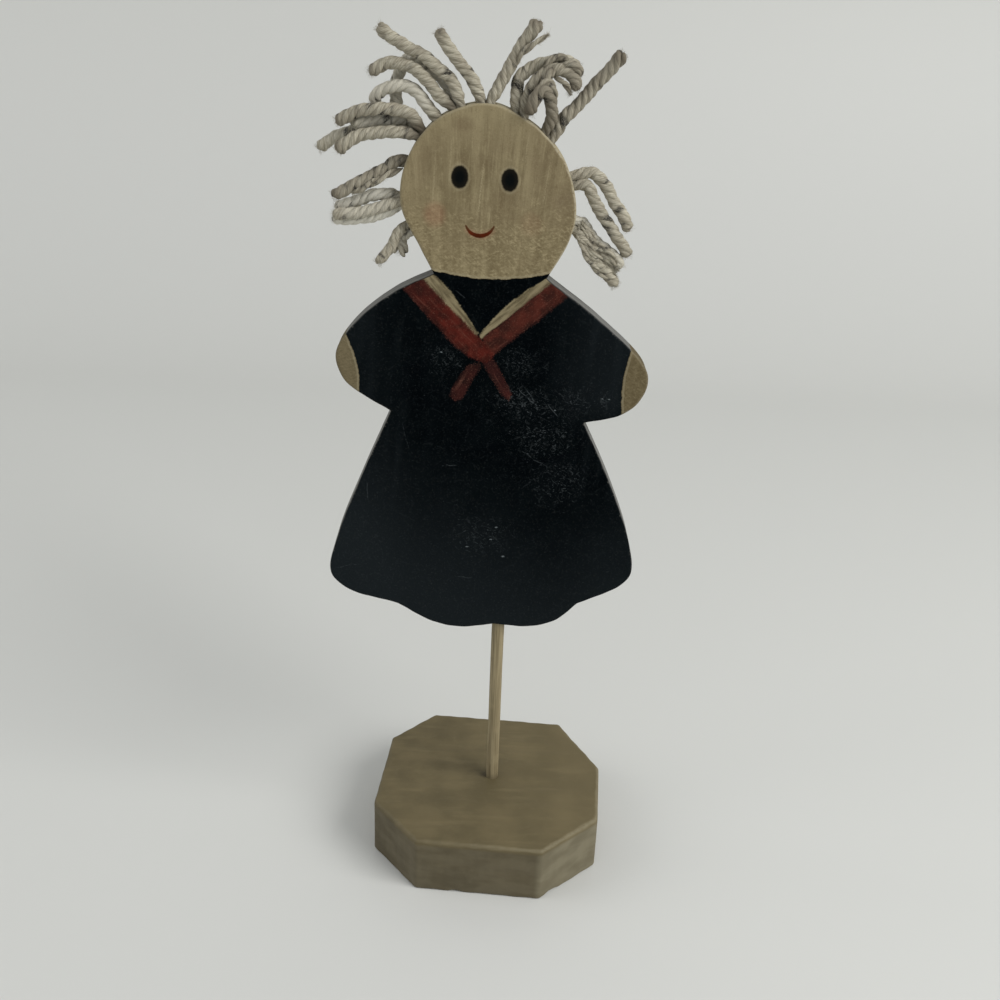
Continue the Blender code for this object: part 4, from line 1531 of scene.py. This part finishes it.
# %% Collar and kerchief
left_trim = [(-31.5, 134.0), (-12.0, 114.3), (-11.0, 115.5), (-15.4, 121.9), (-20.9, 129.8),
             (-25.9, 135.2), (-28.5, 136.5)]
right_trim = [(-10.2, 113.6), (15.5, 135.8), (12.5, 136.5), (0.4, 127.9), (-6.8, 120.3),
              (-10.7, 114.9)]
left_band = [(-38.5, 131.5), (-18.8, 110.0), (-12.4, 106.0), (-8.3, 104.9), (-6.2, 105.9),
             (-5.5, 108.6), (-9.0, 112.5), (-32.0, 135.6)]
right_band = [(-6.5, 107.0), (21.5, 131.5), (14.5, 135.7), (-9.8, 113.7)]
left_tail = [(-10.2, 104.9), (-14.8, 104.0), (-20.0, 95.6), (-20.6, 92.3), (-18.6, 90.8),
             (-16.4, 91.6), (-10.0, 103.6)]
right_tail = [(-9.5, 104.6), (-6.1, 99.4), (-2.0, 93.3), (0.2, 91.8), (1.3, 93.6), (-0.1, 96.7),
              (-3.4, 102.7), (-5.7, 106.8)]
trims = [(left_trim, -50.0), (right_trim, 42.0)]
kerchief = [
    (left_tail, 62.0, ink(36, 19, 17), ink(52, 25, 22)),
    (right_band, 41.0, ink(52, 27, 22), ink(78, 37, 29)),
    (right_tail, -58.0, ink(42, 21, 20), ink(62, 29, 26)),
    (left_band, -46.0, ink(56, 24, 19), ink(82, 31, 24)),
]


def collar(f, dark):
    """The trim and the kerchief over the dress, on the front only."""
    x0, z0, speck = f.x0, f.z0, f.speck
    for corners, degrees in trims:
        drag = bristles(f, x0, z0, degrees, 7.0, 1.1)
        pale = f.mix(drag.step(0.32, 0.66), ink(92, 83, 62), ink(132, 121, 94))
        pale = f.mix(speck.step(0.56, 0.72) * 0.25, pale, ink(150, 140, 114))
        covered = (patch(f.x, f.z, corners) + speck.sway(0.8) + drag.sway(0.8)).step(-0.25, 0.30)
        dark = f.mix(covered * f.front * (speck.step(0.22, 0.40) * 0.2 + 0.8), dark, pale)
    for corners, degrees, shade, bright in kerchief:
        dry = bristles(f, x0, z0, degrees, 12.0, 1.3)
        lower_edge = line_side(f.x, f.z, corners[0], corners[1])
        paint = f.coats(f.mix(f.slow_too.step(0.34, 0.66), shade, bright), {
            "thin streaks": (dry.step(0.50, 0.30), 0.35, shade),
            "dark lower edge": (lower_edge.step(2.6, -0.2), 0.60, ink(34, 20, 18)),
            "dark shoulder": (z0.step(120.0, 131.0) * x0.step(-12.0, -26.0), 0.60, ink(46, 25, 22)),
            "dry streaks": (dry.step(0.56, 0.76), 0.45, f.mix(0.5, bright, ink(136, 92, 76))),
            "pale specks": (speck.step(0.57, 0.74), 0.28, ink(136, 98, 80)),
            "dark specks": (speck.step(0.43, 0.28), 0.36, ink(24, 14, 13)),
        })
        covered = (patch(f.x, f.z, corners) + speck.sway(2.0) + dry.sway(0.8)).step(-0.40, 0.60)
        dark = f.mix(covered * f.front * 0.96, dark, paint)
    return dark


print("collar:", len(trims), "trims, and a kerchief of", len(kerchief), "patches")

# %% [markdown]
# Last comes where each coat lies. The chin is a parabola and each cuff is another, lying on its side. A
# ridge of paint stands along the line where the two coats meet, and it is painted paler there, as a
# highlight. Bare and dusty places are duller.

# %% Paint finish
chin_low = (-7.8, 134.6)
chin_curve = 0.0063
left_cuff = (-52.3, -0.0149)
right_cuff = (39.9, 0.0090)
cuff_height = 96.0
hand_low = 84.0
hand_high = 119.0
coat_blur = 0.12
arm_gate = 9.0


def paint_finish():
    f = BoardPaint("hand_painted_board", {"Specular IOR Level": 0.02})
    tan, streak, relief = tan_coat(f)
    tan = painted_face(f, worn_tan(f, tan))
    dust = dress_dust(f)
    dark = collar(f, worn_dress(f, dust))
    chin = f.z - chin_low[1] - (f.x - chin_low[0]) * (f.x - chin_low[0]) * chin_curve
    rise = (f.z - cuff_height) * (f.z - cuff_height)
    arm = f.z0.step(hand_low - 1.0, hand_low) * f.z0.step(hand_high + 1.0, hand_high)
    arm = arm.sway(arm_gate)
    left_hand = (rise * left_cuff[1] - f.x + left_cuff[0]).least(arm)
    right_hand = (f.x - right_cuff[0] - rise * right_cuff[1]).least(arm)
    skin = most_of([chin, left_hand, right_hand])
    # The ridge where the coats meet is painted paler, as a highlight.
    ridge_highlight = (0.45 - abs(skin - 0.5)).step(0.0, 0.25) * f.front
    hands = f.mix(f.x0.step(-20.0, 20.0), ink(86, 78, 60), ink(72, 62, 42))
    tan = f.coats(tan, {
        "darker hands": (left_hand.most(right_hand).step(-coat_blur, coat_blur), 0.60, hands),
        "painted highlight where the coats meet": (ridge_highlight, 0.30, ink(156, 147, 122)),
    })
    bare_skin = skin.step(-coat_blur, coat_blur)
    colour = f.mix(bare_skin, dark, tan)
    sheen = bare_skin * 0.14 + streak * 0.10 + dust * 0.35 + 0.36
    return f.finish(colour, sheen, relief, 0.00016)


figure.data.materials.append(paint_finish())
print("paint finish:", len(figure.data.materials[0].node_tree.nodes), "nodes")

# %% [markdown]
# ## Washed wood
#
# The block has a thin olive-brown wash over pine, so the grain shows through as long soft streaks along
# its width, and the worn rims are paler, with a painted highlight that is strongest on the right. Its
# walls are greyer, the corner cut at the front right is paler, the right of the top is painted lighter
# as lit, and the wood beside the dowel's foot is painted dark as a shadow. Grain is noise that is drawn
# out along the wood, and bends with a slower noise.

# %% Block finish
cut_slope = (0.667, -0.745)
cut_from, cut_to = 44.4, 45.8


def block_finish():
    f = Finish("washed_pine", {"Specular IOR Level": 0.30})
    mm = f.place((0.0, 0.0, 0.0), 1000.0)
    x, y, z = f.parts(mm)
    bend = f.noise(f.stretch(mm, (0.020, 0.05, 0.05)), 1.0)
    grain = f.noise(f.vector(x * 0.022, y * 0.22 + bend * 2.6, z * 0.22), 3.0)
    pores = f.noise(f.stretch(mm, (0.16, 2.2, 2.2)), 2.0)
    brush = f.noise(f.stretch(mm, (0.045, 0.22, 0.30)), 3.0)
    patchy = f.noise(mm, 3.0, 0.060)
    mottle = f.noise(mm, 3.0, 0.35)
    blotch = f.noise(f.stretch(mm, (0.08, 0.08, 0.20)), 2.0)
    worn = f.parts(f.kept("worn"))[0]
    top = block_high.z * 1000.0
    wall = z.step(top - 1.2, top - 3.0)
    level = 1.0 - wall
    grey = f.mix(blotch.step(0.34, 0.66), ink(83, 76, 59), ink(98, 91, 73))
    grey = f.mix(mottle.step(0.50, 0.80) * 0.16, grey, ink(116, 109, 90))
    cut_corner = (x * cut_slope[0] + y * cut_slope[1]).step(cut_from, cut_to) * wall
    cut_wood = f.mix(blotch.step(0.34, 0.66), ink(107, 100, 79), ink(123, 116, 94))
    # The wood beside the dowel's foot is painted dark, as the shadow in its hole.
    shadow_middle = dowel_axis * 1000.0 + np.array([-2.6, 0.4])
    dark_patch = away(x, y, shadow_middle.tolist(), 3.0, 2.2).step(1.25, 0.35)
    # The worn rims are painted paler, brighter towards the right, as a highlight.
    wear_and_highlight = worn * (mottle * 0.8 + pores.step(0.26, 0.55) * 0.4) * (x.step(-24.0, 22.0) * 0.65 + 0.35)
    colour = f.mix(patchy.step(0.30, 0.70), ink(84, 75, 51), ink(101, 90, 63))
    colour = f.coats(colour, {
        "grain": (grain.step(0.62, 0.34), 0.22, ink(78, 69, 46)),
        "brush marks": (brush.step(0.52, 0.74), 0.30, ink(118, 106, 77)),
        "mottle": (mottle.step(0.52, 0.76), 0.14, ink(112, 101, 76)),
        "pores": (pores.step(0.36, 0.24), 0.14, ink(70, 62, 42)),
        "grey walls": (wall, 0.65, grey),
        "pale cut corner": (cut_corner, 0.75, cut_wood),
        # The right of the top is painted lighter, as lit from the right.
        "painted light on the right of the top": (x.step(-25.0, 45.0) * level, 0.40, ink(112, 100, 70)),
        "painted shadow at the dowel": (dark_patch * level, 0.60, ink(58, 49, 32)),
        "worn rims and painted highlight": (wear_and_highlight, 0.45, ink(140, 132, 108)),
    })
    return f.finish(colour, grain * 0.12 + 0.60, grain * 0.4 + mottle * 0.4 + pores * 0.2, 0.00020)


block.data.materials.append(block_finish())
print("block finish:", len(block.data.materials[0].node_tree.nodes), "nodes")

# %% [markdown]
# The dowel has the same wash, thinner, over straight grain, and its foot is painted darker, as shade where
# it meets the block.

# %% Dowel finish
def dowel_finish():
    f = Finish("washed_dowel", {"Specular IOR Level": 0.30})
    mm = f.place(hem_point, 1000.0)
    z = f.parts(mm)[2]
    grain = f.noise(f.stretch(mm, (1.3, 1.3, 0.030)), 3.0)
    pores = f.noise(f.stretch(mm, (4.5, 4.5, 0.22)), 2.0)
    patchy = f.noise(mm, 2.0, 0.11)
    colour = f.mix(grain.step(0.30, 0.70), ink(116, 104, 77), ink(152, 139, 108))
    colour = f.coats(colour, {
        "pores": (pores.step(0.38, 0.26), 0.45, ink(84, 73, 50)),
        "pale patches": (patchy.step(0.50, 0.72), 0.35, ink(158, 146, 114)),
        # Painted shade at the foot, just above the block.
        "painted shade at the foot": (z.step(-70.0, -74.5), 0.55, ink(72, 62, 42)),
    })
    return f.finish(colour, pores * 0.12 + 0.56, grain * 0.4 + pores * 0.6, 0.00020)


dowel.data.materials.append(dowel_finish())
print("dowel finish:", len(dowel.data.materials[0].node_tree.nodes), "nodes")

# %% [markdown]
# ## Floor
#
# The figure stands on a plain pale surface that sweeps up behind it, because a flat plane would end in
# a hard line. The sweep is one sheet: flat, then a quarter circle, then upright.

# %% Floor
sweep_start = 0.55
sweep_radius = 0.35
sweep_height = 1.6
sweep_steps = 24
floor_half_width = 2.5
floor_front = -1.6


def sweep_surface():
    """A profile (y, z) of floor, quarter circle and wall, carried straight across in x."""
    a = np.linspace(0.0, np.pi / 2, sweep_steps)
    y = np.concatenate([[floor_front], sweep_start + sweep_radius * np.sin(a),
                        [sweep_start + sweep_radius]])
    z = np.concatenate([[0.0], sweep_radius * (1.0 - np.cos(a)), [sweep_height]])
    x = np.linspace(-floor_half_width, floor_half_width, 2)
    grid = np.stack(np.broadcast_arrays(x[None], y[:, None], z[:, None]), axis=-1)
    return grid.reshape(-1, 3), [grid_faces(len(y), 2, False)]


floor = add_mesh("floor", *sweep_surface())
floor_coat = Finish("pale_floor", {"Base Color": ink(204, 204, 199), "Roughness": 0.6})
floor.data.materials.append(floor_coat.material)
print("floor:", len(floor.data.polygons), "faces")

# %% [markdown]
# ## Light
#
# The light is soft, as in a room by day: a large window to the right, a weaker one far to the left, and
# a pale sky all round that fills the shadows. Area lamps give such light, where a sun lamp would throw
# hard shadows. The lamps are set so that a colour comes out about as bright as it was written.

# %% Light
window_size = 0.9
windows = {
    "window": ((1.05, -0.62, 1.00), (0.0, 0.0, 0.15), 18.5),
    "far_window": ((-1.15, -0.10, 0.80), (0.0, 0.0, 0.2), 4.5),
}
sky_strength = 0.58

for name, (place, aim, power) in windows.items():
    lamp = bpy.data.lights.new(name, "AREA")
    lamp.size = window_size
    lamp.energy = power
    window = bpy.data.objects.new(name, lamp)
    bpy.context.scene.collection.objects.link(window)
    turn = (Vector(place) - Vector(aim)).to_track_quat("Z", "Y")
    window.matrix_world = Matrix.Translation(place) @ turn.to_matrix().to_4x4()
world = bpy.data.worlds.new("room")
bpy.context.scene.world = world
world.use_nodes = True
sky = world.node_tree.nodes["Background"]
sky.inputs["Color"].default_value = ink(236, 239, 243)
sky.inputs["Strength"].default_value = sky_strength
bpy.context.scene.view_settings.view_transform = "Standard"
print("light:", len(windows), "windows and the sky")

# %% [markdown] The dressed figure stays in the box of the packed model, apart from a little for the
# string's fuzz.
# The dressed figure has to stay in the box of the packed model, apart from a little for the
# string's fuzz.
